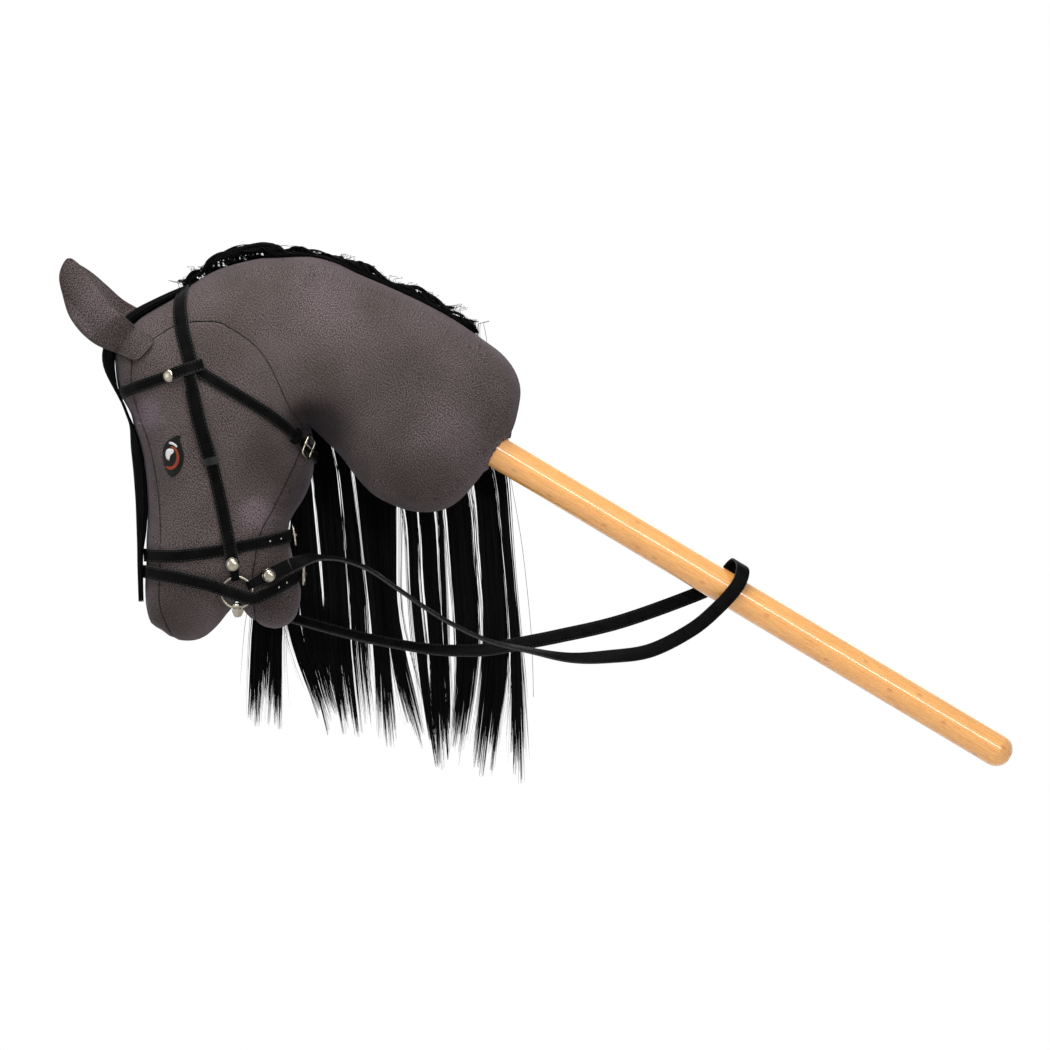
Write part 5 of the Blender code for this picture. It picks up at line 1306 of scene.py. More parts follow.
def make_stud(node, side, metal):
    """A domed stud on the CAD stud's place."""
    base, out = flat_frame(node, (0, side, 0))
    r = STUD_RADIUS
    profile = [(0, 0), (r - 0.3, 0), (r, 0.3), (r, 0.75), (r - 0.35, 1.0)]
    for k in range(1, 10):
        angle = math.pi / 2 * k / 10
        profile.append(((r - 0.5) * math.cos(angle), 0.95 + (STUD_HEIGHT - 1.0) * math.sin(angle)))
    profile.append((0, STUD_HEIGHT - 0.05))
    points, faces = turned(profile, 40)
    points = points @ frame_round(out, (0.3, 0.2, 1)).T + base
    add_piece(node + "_dome", points, faces, metal, [node], flat_angle=50)


def make_ring(word, metal):
    """A bit ring of round wire on its joint."""
    name = f"bit_ring_{word}"
    centre, _ = cad_joint(name + "_turn")
    steps = 16
    wire = RING_WIRE / 2
    turns = [math.tau * k / steps for k in range(steps)]
    profile = [(RING_RADIUS + wire * math.cos(a), wire * math.sin(a)) for a in turns]
    points, faces = turned(profile, 96)
    points = points @ frame_round((0, 1, 0), (1, 0, 0)).T + centre
    add_piece(name + "_wire", points, faces, metal, [name], body=name, flat_angle=0)


def make_mouthpiece(plane, metal):
    """The bar and its two butts: each a ball-nosed block, faceted and drawn to a blunt point below."""
    x0, z0 = BIT_AXIS
    points, faces = turned([(0, -plane + 2), (3.2, -plane + 2), (2.7, -plane * 0.5), (2.4, 0), (2.7, plane * 0.5),
                            (3.2, plane - 2), (0, plane - 2)], 32)
    points = points @ frame_round((0, 1, 0), (1, 0, 0)).T + (x0, 0, z0)
    work = bmesh.new()
    verts = [work.verts.new(p) for p in points]
    for face in faces:
        work.faces.new([verts[i] for i in face])
    levels = [
        (5.4, 2.2, 1.8), (4.9, 3.2, 2.6), (3.2, 3.7, 3.2), (1.7, 3.5, 3.2), (1.2, 2.6, 2.5), (0.7, 2.6, 2.5),
        (0.2, 4.5, 3.5), (-1.0, 4.5, 3.5), (-5.2, 2.8, 2.6), (-6.5, 1.5, 1.5),
    ]
    for side, _ in SIDES:
        rings = []
        for z, wide, deep in levels:
            ring = []
            for k in range(8):
                a = math.tau * (k + 0.5) / 8
                ring.append(work.verts.new((x0 + wide * math.cos(a) / math.cos(math.pi / 8),
                                            side * plane + deep * math.sin(a) / math.cos(math.pi / 8), z0 + z)))
            rings.append(ring)
        for low, high in zip(rings, rings[1:]):
            for k in range(8):
                n = (k + 1) % 8
                work.faces.new((low[k], low[n], high[n], high[k]))
        work.faces.new(rings[0])
        work.faces.new(rings[-1])
    bmesh.ops.recalc_face_normals(work, faces=work.faces)
    work.verts.index_update()
    points = [tuple(v.co) for v in work.verts]
    faces = [[v.index for v in f.verts] for f in work.faces]
    work.free()
    add_piece("bit_mouthpiece_metal", points, faces, metal, ["bit_mouthpiece"], flat_angle=30)


def tube(path, radius, sides, closed=False, out=None):
    """Points and faces of a round tube along a path; out fixes its frame for flat loops."""
    path = np.asarray(path, float)
    if closed:
        along = unit(np.roll(path, -1, axis=0) - np.roll(path, 1, axis=0))
    else:
        along = unit(np.gradient(path, axis=0))
    if out is None:
        guide = np.array((0.0, 1.0, 0.0)) if abs(along[0][1]) < 0.8 else np.array((1.0, 0.0, 0.0))
    else:
        guide = np.array(out, float)
    first = unit(np.cross(along, guide))
    second = np.cross(first, along)
    radius = np.broadcast_to(radius, len(path))
    points = []
    for k in range(sides):
        angle = math.tau * k / sides
        points.append(path + (first * math.cos(angle) + second * math.sin(angle)) * radius[:, None])
    points = np.stack(points, axis=1).reshape(-1, 3)
    return points, facing_out(points, swept_faces(sides, len(path), closed))


def make_buckle(word, metal):
    """A wire frame, and the tongue that turns on its bar. Both are placed from the CAD pieces."""
    pivot, axis = cad_joint(f"{word}_tongue_turn")
    ahead = cad_points(f"{word}_buckle").mean(axis=0) - pivot
    ahead = unit(ahead - axis * (ahead @ axis))
    out = np.cross(axis, ahead)
    if out[1] > 0:
        out = -out
    long_side, wide_side = BUCKLE_SIZE[0] / 2, BUCKLE_SIZE[1] / 2
    round_off = 3.0
    track = []
    for k, (x, y) in enumerate([(1, 1), (-1, 1), (-1, -1), (1, -1)]):
        for step in range(7):
            angle = math.pi / 2 * (k + step / 6)
            across = y * (wide_side - round_off) + round_off * math.sin(angle)
            along = x * (long_side - round_off) + round_off * math.cos(angle)
            track.append(pivot + ahead * (long_side + along) + axis * across)
    corners, faces = tube(track, BUCKLE_WIRE / 2, 12, True, out)
    add_piece(f"{word}_buckle_wire", corners, faces, metal, [f"{word}_buckle"], flat_angle=0)
    far = BUCKLE_SIZE[0]
    wire = BUCKLE_WIRE / 2
    pin = [(1.9, -0.55), (3.2, 0.4), (5.5, 1.2)]
    pin += [(far - 2, wire + 0.85), (far, wire + 0.95), (far + 1.1, wire + 0.75)]
    path = [pivot + ahead * a + out * b for a, b in curve_points(pin, 0.7)]
    thick = np.interp(np.linspace(0, 1, len(path)), [0, 0.1, 0.7, 1], [0.55, 0.75, 0.65, 0.5])
    pin_points, pin_faces = tube(path, thick, 10, False, axis)
    eye, eye_faces = turned([(1.3, -1.3), (1.85, -1.15), (1.85, 1.15), (1.3, 1.3)], 28)
    eye = eye @ frame_round(axis, ahead).T + pivot
    start = len(pin_points)
    corners = np.vstack([pin_points, eye])
    faces = list(pin_faces) + [tuple(i + start for i in f) for f in eye_faces]
    name = f"{word}_tongue"
    add_piece(name + "_pin", corners, faces, metal, [name], body=name, flat_angle=45)


def folded_end(node, angle, side, plane, tail, looks):
    """A strap end folded round the ring's wire and laid back on itself, narrowed where it holds the wire."""
    centre = np.array((BIT_RING[0], side * plane, BIT_RING[1]))
    radial = np.array((math.cos(angle), 0, math.sin(angle)))
    wire = centre + radial * RING_RADIUS
    start = centre + radial * (RING_RADIUS + LOOP_OUTER - 0.8)
    tangent = np.cross((0, 1, 0), radial)
    along = unit(np.array(tail) - start)
    across = unit(tangent - along * (tangent @ along))
    up = np.cross(along, across)
    if up[1] * side < 0:
        up = -up
    half = FOLDED / 2 + 0.05
    hold = LOOP_INNER + FOLDED / 2
    turn_up = unit(np.array((0, side, 0.0)))
    path = [np.array(tail) + up * half, start + (np.array(tail) - start) * 0.45 + up * half]
    path.append(start + along * 2.5 + up * half)
    for k in range(13):
        a = math.radians(52 + (360 - 104) * k / 12)
        path.append(wire + (radial * math.cos(a) + turn_up * math.sin(a)) * hold)
    path += [start + along * 2.5 - up * half, start + (np.array(tail) - start) * 0.45 - up * half]
    path.append(np.array(tail) - up * half)
    path = even_points(path, 1.0)
    forward = unit(np.gradient(path, axis=0))
    sideways = unit(across - forward * np.sum(forward * across, axis=1, keepdims=True))
    out = np.cross(sideways, forward)
    away = np.linalg.norm(path - wire, axis=1)
    wide = np.interp(away, [4, 10, 16], [LOOP_WIDTH, LOOP_WIDTH + 1, STRAP_WIDTH])
    profile = np.array([(0.5, -0.5), (0.5, 0.25), (0.46, 0.5), (-0.46, 0.5), (-0.5, 0.25), (-0.5, -0.5)])
    points = path[:, None] + sideways[:, None] * (profile[:, :1] * wide[:, None, None])
    points = points + out[:, None] * (profile[:, 1:] * FOLDED)
    size, count = len(profile), len(path)
    points = points.reshape(-1, 3)
    steps, wide = np.repeat(np.arange(count), size), np.tile(profile[:, 0] * STRAP_WIDTH, count)
    lie = np.stack([steps, wide, 0 * wide], axis=1)
    faces = facing_out(points, swept_faces(size, count))
    add_piece(node + "_leather", points, faces, looks["leather"], [node], lie=lie,
              flat_angle=35)


def near_section(sections, place):
    """The number of a strap's section that lies nearest to a side-view place, on the near side."""
    inner = sections["inner"]
    other_side = np.where(inner[:, 1] < 0, 0, 1000)
    return int(np.argmin(np.linalg.norm(inner[:, (0, 2)] - np.array(place), axis=1) + other_side))


def make_keeper(name, sections, place, width, looks):
    """A small leather loop round a strap."""
    i = near_section(sections, place)
    middle, along, across, out = (sections[k][i] for k in ("inner", "along", "across", "out"))
    half, high = width / 2 + 0.3, STRAP_THICKNESS + 0.35
    thick = KEEPER_THICKNESS
    shape = [(-half, -0.15), (-half - thick, 0.2), (-half - thick, high), (-half - 0.2, high + thick)]
    shape += [(half + 0.2, high + thick), (half + thick, high), (half + thick, 0.2), (half, -0.15)]
    shape += [(half, high), (-half, high)]
    steps = np.linspace(-KEEPER_LENGTH / 2, KEEPER_LENGTH / 2, 7)
    bulge = 0.12 * np.cos(steps / KEEPER_LENGTH * math.pi)
    points = np.array([
        middle + along * s + across * a * (1 + 0.02 * b) + out * (h + b * 0.5)
        for s, b in zip(steps, bulge) for a, h in shape
    ])
    faces = facing_out(points, swept_faces(len(shape), len(steps)))
    add_piece(name, points, faces, looks["leather"], flat_angle=35)


def make_holes(name, sections, places, look):
    """Punched holes as small pale rings let into the strap's face; the pale colour is painted light, for the
    bright light seen in each hole.
    """
    corners, faces = [], []
    for place in places:
        i = near_section(sections, place)
        middle, along, out = (sections[k][i] for k in ("inner", "along", "out"))
        shift = np.array((place[0] - middle[0], 0, place[1] - middle[2]))
        middle = middle + along * (shift @ along) + out * (STRAP_THICKNESS * 0.98)
        ring, ring_faces = turned([(0, 0), (0.75, 0), (0.85, 0.12), (0.75, 0.2), (0, 0.14)], 14)
        ring = ring @ frame_round(out, along).T + middle
        start = len(corners)
        corners += list(ring)
        faces += [tuple(k + start for k in f) for f in ring_faces]
    add_piece(name, corners, faces, look, flat_angle=0)


# Hair
class Strands:
    """Many thin tapering strands gathered into one mesh."""

    def __init__(self, seed, ground=None):
        self.random = np.random.default_rng(seed)
        self.ground = ground
        self.points, self.faces, self.caps, self.lie = [], [], [], []
        self.count = 0

    def add(self, paths, radius):
        """Strands of shape (number, steps, 3), each with its radius along it."""
        number, steps, _ = paths.shape
        sides = STRAND_SIDES
        if self.ground:
            paths = self.outside(paths)
        along = unit(np.gradient(paths, axis=1))
        guide = np.zeros_like(along)
        flat = np.abs(along[..., 1]) > 0.85
        guide[..., 1] = np.where(flat, 0, 1)
        guide[..., 0] = np.where(flat, 1, 0)
        first = unit(np.cross(along, guide))
        second = np.cross(first, along)
        turn = self.random.uniform(0, math.tau, (number, 1, 1))
        rings = []
        for k in range(sides):
            angle = turn + math.tau * k / sides
            rings.append(paths + (first * np.cos(angle) + second * np.sin(angle)) * radius[..., None])
        rings = np.stack(rings, axis=2)
        base = self.count + np.arange(number)[:, None, None] * steps * sides
        i = np.arange(steps - 1)[None, :, None] * sides
        k = np.arange(sides)[None, None, :]
        n = (k + 1) % sides
        a = base + i
        quads = np.stack([a + k, a + n, a + sides + n, a + sides + k], axis=-1).reshape(-1, 4)
        self.faces.append(quads[:, ::-1])
        ends = np.arange(number) * steps * sides + self.count
        caps = ends[:, None] + np.arange(sides)[None, :]
        self.caps += caps.tolist()
        tails = ends[:, None] + (steps - 1) * sides + np.arange(sides)[None, ::-1]
        self.caps += tails.tolist()
        self.points.append(rings.reshape(-1, 3))
        tone = np.repeat(self.random.uniform(0, 60, (number, 1)), steps * sides, axis=1).ravel()
        travel = np.tile(np.repeat(np.arange(steps) * 2.0, sides), number)
        self.lie.append(np.stack([tone, travel * 0.2, 0 * tone], axis=1))
        self.count += number * steps * sides

    def outside(self, paths):
        """The strands' points moved out of the stuffed form."""
        moved = paths.reshape(-1, 3).copy()
        for i, point in enumerate(moved):
            near, normal, _, _ = self.ground.body.find_nearest(Vector(point))
            depth = (Vector(point) - near).dot(normal)
            if depth < STRAND:
                moved[i] = near + normal * STRAND
        return moved.reshape(paths.shape)

    def piece(self, name, look, replaces):
        points = np.vstack(self.points)
        faces = np.vstack(self.faces).tolist() + self.caps
        return add_piece(name, points, faces, look, replaces, lie=np.vstack(self.lie),
                         flat_angle=0)


def strands_along(made, rows, number, radius, wander=0.1, loose=0.0, ragged=0.14, clumps=1, inner=1.0):
    """Strands that fill a lock, drawn together in wisps towards its tip.

    rows hold the lock's centre and its two half axes as vectors, from root to tip.
    """
    random = made.random
    centres, wide, deep = (np.array([row[k] for row in rows]) for k in range(3))
    steps = len(centres)
    angle = random.uniform(0, math.tau, number)
    out = np.sqrt(random.uniform(0, 1, number)) * inner
    a, b = out * np.cos(angle), out * np.sin(angle)
    wisp_a, wisp_b = random.uniform(-0.8, 0.8, (2, clumps))
    wisp_end = random.uniform(0, 1, clumps)
    mine = np.argmin((a[:, None] - wisp_a) ** 2 + 0.3 * (b[:, None] - wisp_b) ** 2, axis=1)
    t = np.linspace(0, 1, steps)
    end = 1 - ragged * (0.3 * wisp_end[mine] + 0.7 * random.uniform(0, 1, number) ** 1.6)
    share = t[None, :] * end[:, None]
    phase = random.uniform(0, math.tau, (number, 2))
    rate = random.uniform(0.6, 1.6, (number, 2))
    wave_a = wander * np.sin(share * rate[:, :1] * 7 + phase[:, :1])
    wave_b = wander * np.sin(share * rate[:, 1:] * 7 + phase[:, 1:])
    stray = loose * random.normal(0, 1, (number, 1)) * share ** 3
    drawn = 0.3 * share ** 9 if clumps > 1 else 0 * share
    across = a[:, None] * (1 - drawn) + wisp_a[mine][:, None] * drawn + wave_a * (1 - 0.5 * share) + stray
    through = b[:, None] * (1 - drawn) + wisp_b[mine][:, None] * drawn + wave_b
    limit = np.maximum(1, np.sqrt(across ** 2 + through ** 2) / (1.15 + 2 * loose))
    across, through = across / limit, through / limit

    def at(values):
        return np.stack([np.interp(share, t, values[:, k]) for k in range(3)], axis=-1)

    paths = at(centres) + at(wide) * across[..., None] + at(deep) * through[..., None]
    sizes = radius * random.uniform(0.75, 1.2, (number, 1)) * np.clip((1.02 - t[None, :]) / 0.1, 0.15, 1)
    made.add(paths, sizes)


def make_mane(ground, hair):
    """Long straight locks over the far side of the neck, hanging plumb below it."""
    crest = even_points(np.array([(x, 0, z) for x, z in CREST]), 4.0)
    locks = {}
    for number, column, rows in TRESSES:
        locks.setdefault(number, []).append((column, rows))
    for number, tresses in locks.items():
        made = Strands(100 + number)
        for column, rows in tresses:
            sections = tress_rows(ground, crest, column, rows)
            mean_width = float(np.mean([np.linalg.norm(s[1]) for s in sections[-8:]]))
            count = int((60 + 30 * mean_width) * (SPARSE_SHARE if number == SPARSE_LOCK else 1))
            clumps = int(3 + mean_width * 0.8)
            strands_along(made, sections, count, STRAND, wander=0.07, loose=0.03, ragged=0.13, clumps=clumps)
            loose_hairs = 16 + count // 10
            strands_along(made, sections, loose_hairs, STRAND * 0.5, wander=0.25, loose=0.45, ragged=0.12,
                          inner=1.7)
        name = f"mane_lock_{number:02d}"
        made.piece(name + "_hair", hair, [name])
    stray = Strands(77)
    path = [seen_at(px, py, MANE_BEHIND) for px, py in STRAY_PATH]
    line = even_points(np.array([(x, MANE_BEHIND, z) for x, z in path]), 8.0)
    top = np.array((line[0][0] - 30, 50, line[0][2] + 60))
    line = np.vstack([even_points(np.array([top, line[0]]), 8.0)[:-1], line])
    stray.add(line[None], np.full((1, len(line)), 0.22))
    stray.piece("mane_stray_hair", hair, ())


def tress_rows(ground, crest, column, rows):
    """Centre and half axes of a tress from the weft over the neck's side and down to its tip."""
    x_top, _ = pattern(column, 0)
    top = float(np.interp(x_top, crest[:, 0], crest[:, 2])) + 1.0
    seen = []
    for row, left, right in rows:
        x_left, z = seen_at(left, row, MANE_BEHIND)
        x_right, _ = seen_at(right, row, MANE_BEHIND)
        seen.append((z, (x_left + x_right) / 2, (x_right - x_left) / 2))
    first = seen[0]
    fall = top - first[0]
    over = first[1] - x_top
    marks = [
        (top, x_top, LOCK_HALF_TOP), (top - 0.3 * fall, x_top + 0.14 * over, LOCK_HALF_TOP),
        (top - 0.65 * fall, x_top + 0.55 * over, (LOCK_HALF_TOP + first[2]) / 2),
    ]
    smooth = curve_points(np.array(marks + seen), 9.0)
    keep = np.concatenate([[True], np.diff(smooth[:, 0]) < -0.05])
    smooth = smooth[keep]
    low = smooth[-1][0]
    on_crest = top - np.array((0, 0.8, 2.0, 3.6, 5.6, 8.0))
    on_neck = np.arange(top - 12, max(top - 132, low + 30), -6.0)
    below = np.linspace(max(top - 138, low + 24), low, 15)
    heights = np.concatenate([on_crest, on_neck, below])
    x = np.interp(-heights, -smooth[:, 0], smooth[:, 1])
    half = np.maximum(np.interp(-heights, -smooth[:, 0], smooth[:, 2]), 1.5)
    places = []
    reach = 0.0
    for z, centre, wide in zip(heights, x, half):
        for dx in (-1, -0.5, 0, 0.5, 1):
            edge = LOCK_DEPTH * 0.7 if abs(dx) == 1 else 0
            for dz in (-3, 0, 3):
                reach = max(reach, ground.side_height(centre + dx * wide, z + dz, FAR) - edge)
        places.append((centre, reach + LOCK_DEPTH * 0.85 + STRAP_GAP, z))
    places = np.array(places)
    x_root, y_root, z_root = places[0]
    roots = [(x_root, 2 + s * (y_root - 2), z_root + ROOT_RISE * (1 - s * s)) for s in ROOT_SHARES]
    places = np.vstack([roots, places])
    half = np.concatenate([[half[0] * ROOT_SPREAD] * len(roots), half])
    depths = LOCK_DEPTH * (1 - 0.45 * (top - heights) / (top - low))
    depths = np.concatenate([depths[0] * (0.3 + 0.7 * np.array(ROOT_SHARES)), depths])
    fall = np.gradient(places, axis=0) * (0, 1, 1)
    deep = unit(np.cross((1, 0, 0), fall)) * depths[:, None]
    deep *= np.where(deep[:, 1:2] + deep[:, 2:3] < 0, -1, 1)
    return [(place, np.array((wide, 0, 0.0)), out) for place, wide, out in zip(places, half, deep)]


def make_forelock(ground, hair):
    """The lock that falls from the poll over the forehead."""
    rows = curve_points(FORELOCK, 5.0)
    line = np.array([(x, FORELOCK_Y, z) for x, z, _, _ in rows])
    along = unit(np.gradient(line, axis=0))
    facing = np.cross(along, (0, 1, 0))
    sections = [
        (centre, f * max(row[2], 0.7), np.array((0, row[3], 0.0)))
        for centre, f, row in zip(line, facing, rows)
    ]
    made = Strands(51, ground)
    strands_along(made, sections, FORELOCK_STRANDS, STRAND, wander=0.08, ragged=0.06)
    made.piece("forelock_hair", hair, ["forelock"])


def make_crest(hair):
    """Hair drawn up along the crest: curled wisps, open ringlets at its front end and stray hairs."""
    crest = curve_points(np.array([(x, 0, z) for x, z in CREST]), 1.5)
    columns = ENTRY_PIXEL[0] + crest[:, 0] / PIXEL
    thick = np.interp(columns, *zip(*CREST_HAIR)) * PIXEL
    along = unit(np.gradient(crest, axis=0))
    facing = np.cross((0, 1, 0), along)
    facing *= np.sign(facing[:, 2:3])
    travelled = distances_along(crest)
    made = Strands(61)
    random = made.random

    def over(at, up, out):
        """Points at distances along the crest, shares of the hair's thickness up and millimetres across."""
        base, face = (
            np.stack([np.interp(at, travelled, a[:, k]) for k in range(3)], axis=1) for a in (crest, facing)
        )
        high = np.interp(at, travelled, thick)
        return base + face * (high * up)[:, None] + np.stack([0 * at, out, 0 * at], axis=1), face, high

    def wisp(start, end, up, out, half, number):
        at = np.linspace(start, end, 16)
        centre, face, high = over(at, up, out)
        fade = np.sin(np.linspace(0.12, math.pi - 0.12, 16)) ** 0.5
        rows = [
            (c, f * max(half * h * e, 0.5), np.array((0, max(2.2 * e, 0.5), 0.0)))
            for c, f, h, e in zip(centre, face, high, fade)
        ]
        strands_along(made, rows, number, STRAND, wander=0.3, loose=0.1, ragged=0.08)

    def places(*picked):
        """Distances along the crest of the given picture columns."""
        return (float(np.interp(c, columns, travelled)) for c in picked)

    end = travelled[-1]
    open_end, mass_from = places(CREST_CLOSED_FROM, CREST_MASS_FROM)
    t = np.linspace(0, 1, 16)
    for out in (-3.0, -1.0, 1.0, 3.0):
        wisp(open_end, end - 1, 0.16 + 0 * t, out + 0.6 * np.sin(9 * t + out), 0.24, 40)
    for out in (-2.0, 0.0, 2.0):
        wisp(mass_from, open_end + 12, 0.74 + 0.1 * np.sin(5 * t + out), out + 0 * t, 0.24, 46)
    for first, last, height in CREST_CAPS:
        first, last = places(first, last)
        bow = np.sin(np.linspace(0.2, math.pi - 0.7, 16)) ** 0.5
        for out in (-1.6, 0.2, 1.8):
            wisp(first, last, height * bow, out + 0.4 * np.sin(7 * t + out), 0.1, 14)
    for _ in range(CREST_WISPS):
        start = random.uniform(mass_from, end - 16)
        span = random.uniform(20, 46)
        swing, rate = random.uniform(0, math.tau), random.uniform(3, 7)
        low = np.where(np.linspace(start, min(start + span, end), 16) < open_end, 0.52, 0.12)
        up = low + (0.84 - low) * (0.5 + 0.5 * np.sin(swing + rate * t))
        wisp(start, min(start + span, end), up, 3.2 * np.cos(swing + rate * t), 0.15, 15)
    for number, (first, last, height, pitch, lean) in enumerate(CREST_ARCHES):
        first, last = places(first, last)
        angle = np.linspace(0, math.pi * (last - first) / pitch, int((last - first) / pitch * 14))
        for strand in range(3):
            rise = np.abs(np.sin(angle)) ** 0.55
            ripple = 0.12 * (1 + np.sin(angle * 0.37 + number)) / 2
            uneven = 1 - 0.09 * strand * random.uniform(0.4, 1) - ripple
            at = first + angle / math.pi * pitch + lean * rise + 0.34 * strand
            high = height * uneven * (0.04 + 0.96 * rise)
            points, _, _ = over(at, high, 2.6 * np.cos(angle + number) + 0.4 * strand)
            made.add(points[None], np.full((1, len(points)), STRAND))
    for _ in range(CREST_STRAYS):
        start = random.uniform(mass_from - 14, end - 6)
        span = random.uniform(5, 15) * random.choice((-1, 1))
        rise = random.uniform(0.4, 1.8)
        at = start + span * np.linspace(0, 1, 9)
        points, face, _ = over(at, 0.8 + 0 * at, random.uniform(-3, 3) + 0 * at)
        points += face * (rise * np.sin(np.linspace(0, random.uniform(1.2, 2.8), 9)))[:, None]
        made.add(points[None], np.linspace(0.14, 0.05, 9)[None])
    made.piece("crest_braid_hair", hair, ["crest_braid"])


def make_weft(sections, hair):
    """The tape that the mane is sewn to."""
    profile = sewn_profile(WEFT_WIDTH, STRAP_THICKNESS)
    corners, faces, lie, _ = band(sections["inner"], sections["across"], sections["out"], profile, False)
    add_piece("mane_weft_tape", corners, faces, hair, ["mane_weft"], lie=lie)


# Sewn leaves and patches
def patch_mesh(outline, grid, height, side, thickness, round_in):
    """A thin closed piece over a side-view outline. height(x, z) is how far out its inner face lies."""
    rim = curve_points(outline, grid, closed=True)
    closed_rim = np.vstack([rim, rim[:1]])
    inside = staggered_grid(rim.min(axis=0), rim.max(axis=0), grid)
    inside = inside[inside_loop(inside, rim)]
    inside = inside[distance_to(inside, closed_rim) > 0.55 * grid]
    points = [Vector(p) for p in rim.tolist()] + [Vector(p) for p in inside.tolist()]
    found, _, faces, _, _, _ = delaunay_2d_cdt(points, [], [list(range(len(rim)))], 1, 1e-6, True)
    flat = np.array([(p.x, p.y) for p in found])
    faces = np.array(faces)
    faces = faces[inside_loop(flat[faces].mean(axis=1), rim)]
    (flat,), faces = only_used([flat], faces)
    faces = np.array(faces)
    away = distance_to(flat, closed_rim)
    full = np.sqrt(np.clip(away / round_in, 0.06, 1))
    level = np.array([height(x, z) for x, z in flat])
    inner = np.stack([flat[:, 0], side * (level + thickness / 2 * (1 - full)), flat[:, 1]], axis=1)
    outer = np.stack([flat[:, 0], side * (level + thickness / 2 * (1 + full)), flat[:, 1]], axis=1)
    count = len(flat)
    rim_faces = [(a, b, b + count, a + count) for a, b in border_edges(faces)]
    everything = [tuple(f[::-1]) for f in faces] + [tuple(f + count) for f in faces] + rim_faces
    points = np.vstack([inner, outer])
    lie = np.vstack([np.hstack([flat, 0 * flat[:, :1]])] * 2)
    return points, facing_out(points, everything), lie, away


def far_ear_point(point):
    """The far ear stands a little higher and further back than the near one, and is turned."""
    x, z = point[0] - EAR_BASE[0], point[1] - EAR_BASE[1]
    turn = math.radians(FAR_EAR_TURN)
    x, z = x * math.cos(turn) + z * math.sin(turn), z * math.cos(turn) - x * math.sin(turn)
    return (x + EAR_BASE[0] + FAR_EAR_SHIFT[0], z + EAR_BASE[1] + FAR_EAR_SHIFT[1])


def make_ears(ground, looks):
    """Cupped double leaves, hemmed round, folded at the root and sewn in at the poll."""
    base = np.array(EAR_BASE, float)
    tip = np.array(EAR_EDGE[0], float)
    along = unit(tip - base)
    for side, word in SIDES:
        def height(x, z, side=side):
            off = np.array((x, z)) - base
            across = off @ np.array((-along[1], along[0]))
            cup = EAR_CAMBER * max(0.0, 1 - (across / EAR_HALF_WIDTH) ** 2)
            out = off @ along
            free = min(max(out / EAR_ROOT, 0.0), 1.0)
            body = ground.highest_near(x, z, side, FABRIC)
            return max((EAR_STANDOFF + cup) * free, body + STRAP_GAP)
        outline = EAR_EDGE if side == NEAR else [far_ear_point(p) for p in EAR_EDGE]
        points, faces, lie, away = patch_mesh(outline, EAR_GRID, height, side, 2 * FABRIC, EAR_ROUND)
        hem = HEM_DEPTH * np.exp(-((away - HEM_INSET) / HEM_WIDTH) ** 2)
        count = len(away)
        points[count:, 1] -= side * hem
        points[:count, 1] += side * hem * 0.5
        lie = lie @ np.array(((0.8, -0.6, 0), (0.6, 0.8, 0), (0, 0, 1)))
        # The far ear takes the cloth darkened as painted shade
        look = looks["cloth" if side == NEAR else "painted_shade_cloth"]
        made = add_piece(f"ear_{word}_cloth", points, faces, look, [f"ear_{word}"], lie=lie,
                         flat_angle=70)
        ground.add(points, faces)
        # A piping round the ear's edge, coloured lighter as a painted highlight of the lit edge
        rim = curve_points(outline, EAR_GRID, closed=True)
        middle = (points[:count] + points[count:]) / 2
        nearest = np.argmin(((rim[:, None] - middle[None, :, ::2]) ** 2).sum(axis=2), axis=1)
        rim = np.array([(x, middle[i, 1], z) for (x, z), i in zip(rim, nearest)])
        points, faces = tube(rim, EAR_PIPING, 6, closed=True)
        add_piece(f"ear_hem_{word}", points, faces, looks["hem"], flat_angle=70)


def make_seams(ground, look):
    """The drawn-in thread line of each seam, on both sides of the head."""
    for side, word in SIDES:
        for name, seam in (("neck", CHEEK_SEAM), ("face", FACE_SEAM), ("jaw", JAW_SEAM)):
            line = curve_points(seam, 2.0)
            path = np.array([(x, side * ground.side_height(x, z, side), z) for x, z in line])
            kept = np.abs(path[:, 1]) > SEAM_THREAD
            points, faces = tube(path[kept], SEAM_THREAD, 6)
            add_piece(f"{name}_seam_{word}", points, faces, look, flat_angle=70)


def make_collar(ground, cloth):
    """The neck's end gathered in small pleats round the stick."""
    turn = frame_round(STICK_DOWN, (0, 1, 0))
    points = []
    for k in range(COLLAR_SIDES):
        angle = math.tau * k / COLLAR_SIDES
        ray = turn @ np.array((math.cos(angle), math.sin(angle), 0))
        pleat = COLLAR_PLEAT * math.cos(COLLAR_PLEATS * angle)
        for out, rise in COLLAR_PROFILE:
            start = ray * max(STICK_RADIUS + out, STICK_RADIUS + 2.6) + STICK_DOWN * 60
            hit = ground.body.ray_cast(Vector(start), Vector(-STICK_DOWN))[0]
            along = float(np.array(hit) @ STICK_DOWN) if hit else 0.0
            share = max(0.0, 1 - out / COLLAR_PROFILE[3][0])
            points.append(ray * (STICK_RADIUS + out) + STICK_DOWN * (along + rise + pleat * share))
    points = np.array(points)
    faces = facing_out(points, swept_faces(len(COLLAR_PROFILE), COLLAR_SIDES, True))
    add_piece("neck_end_gathers", points, faces, cloth, lie=points, flat_angle=60)


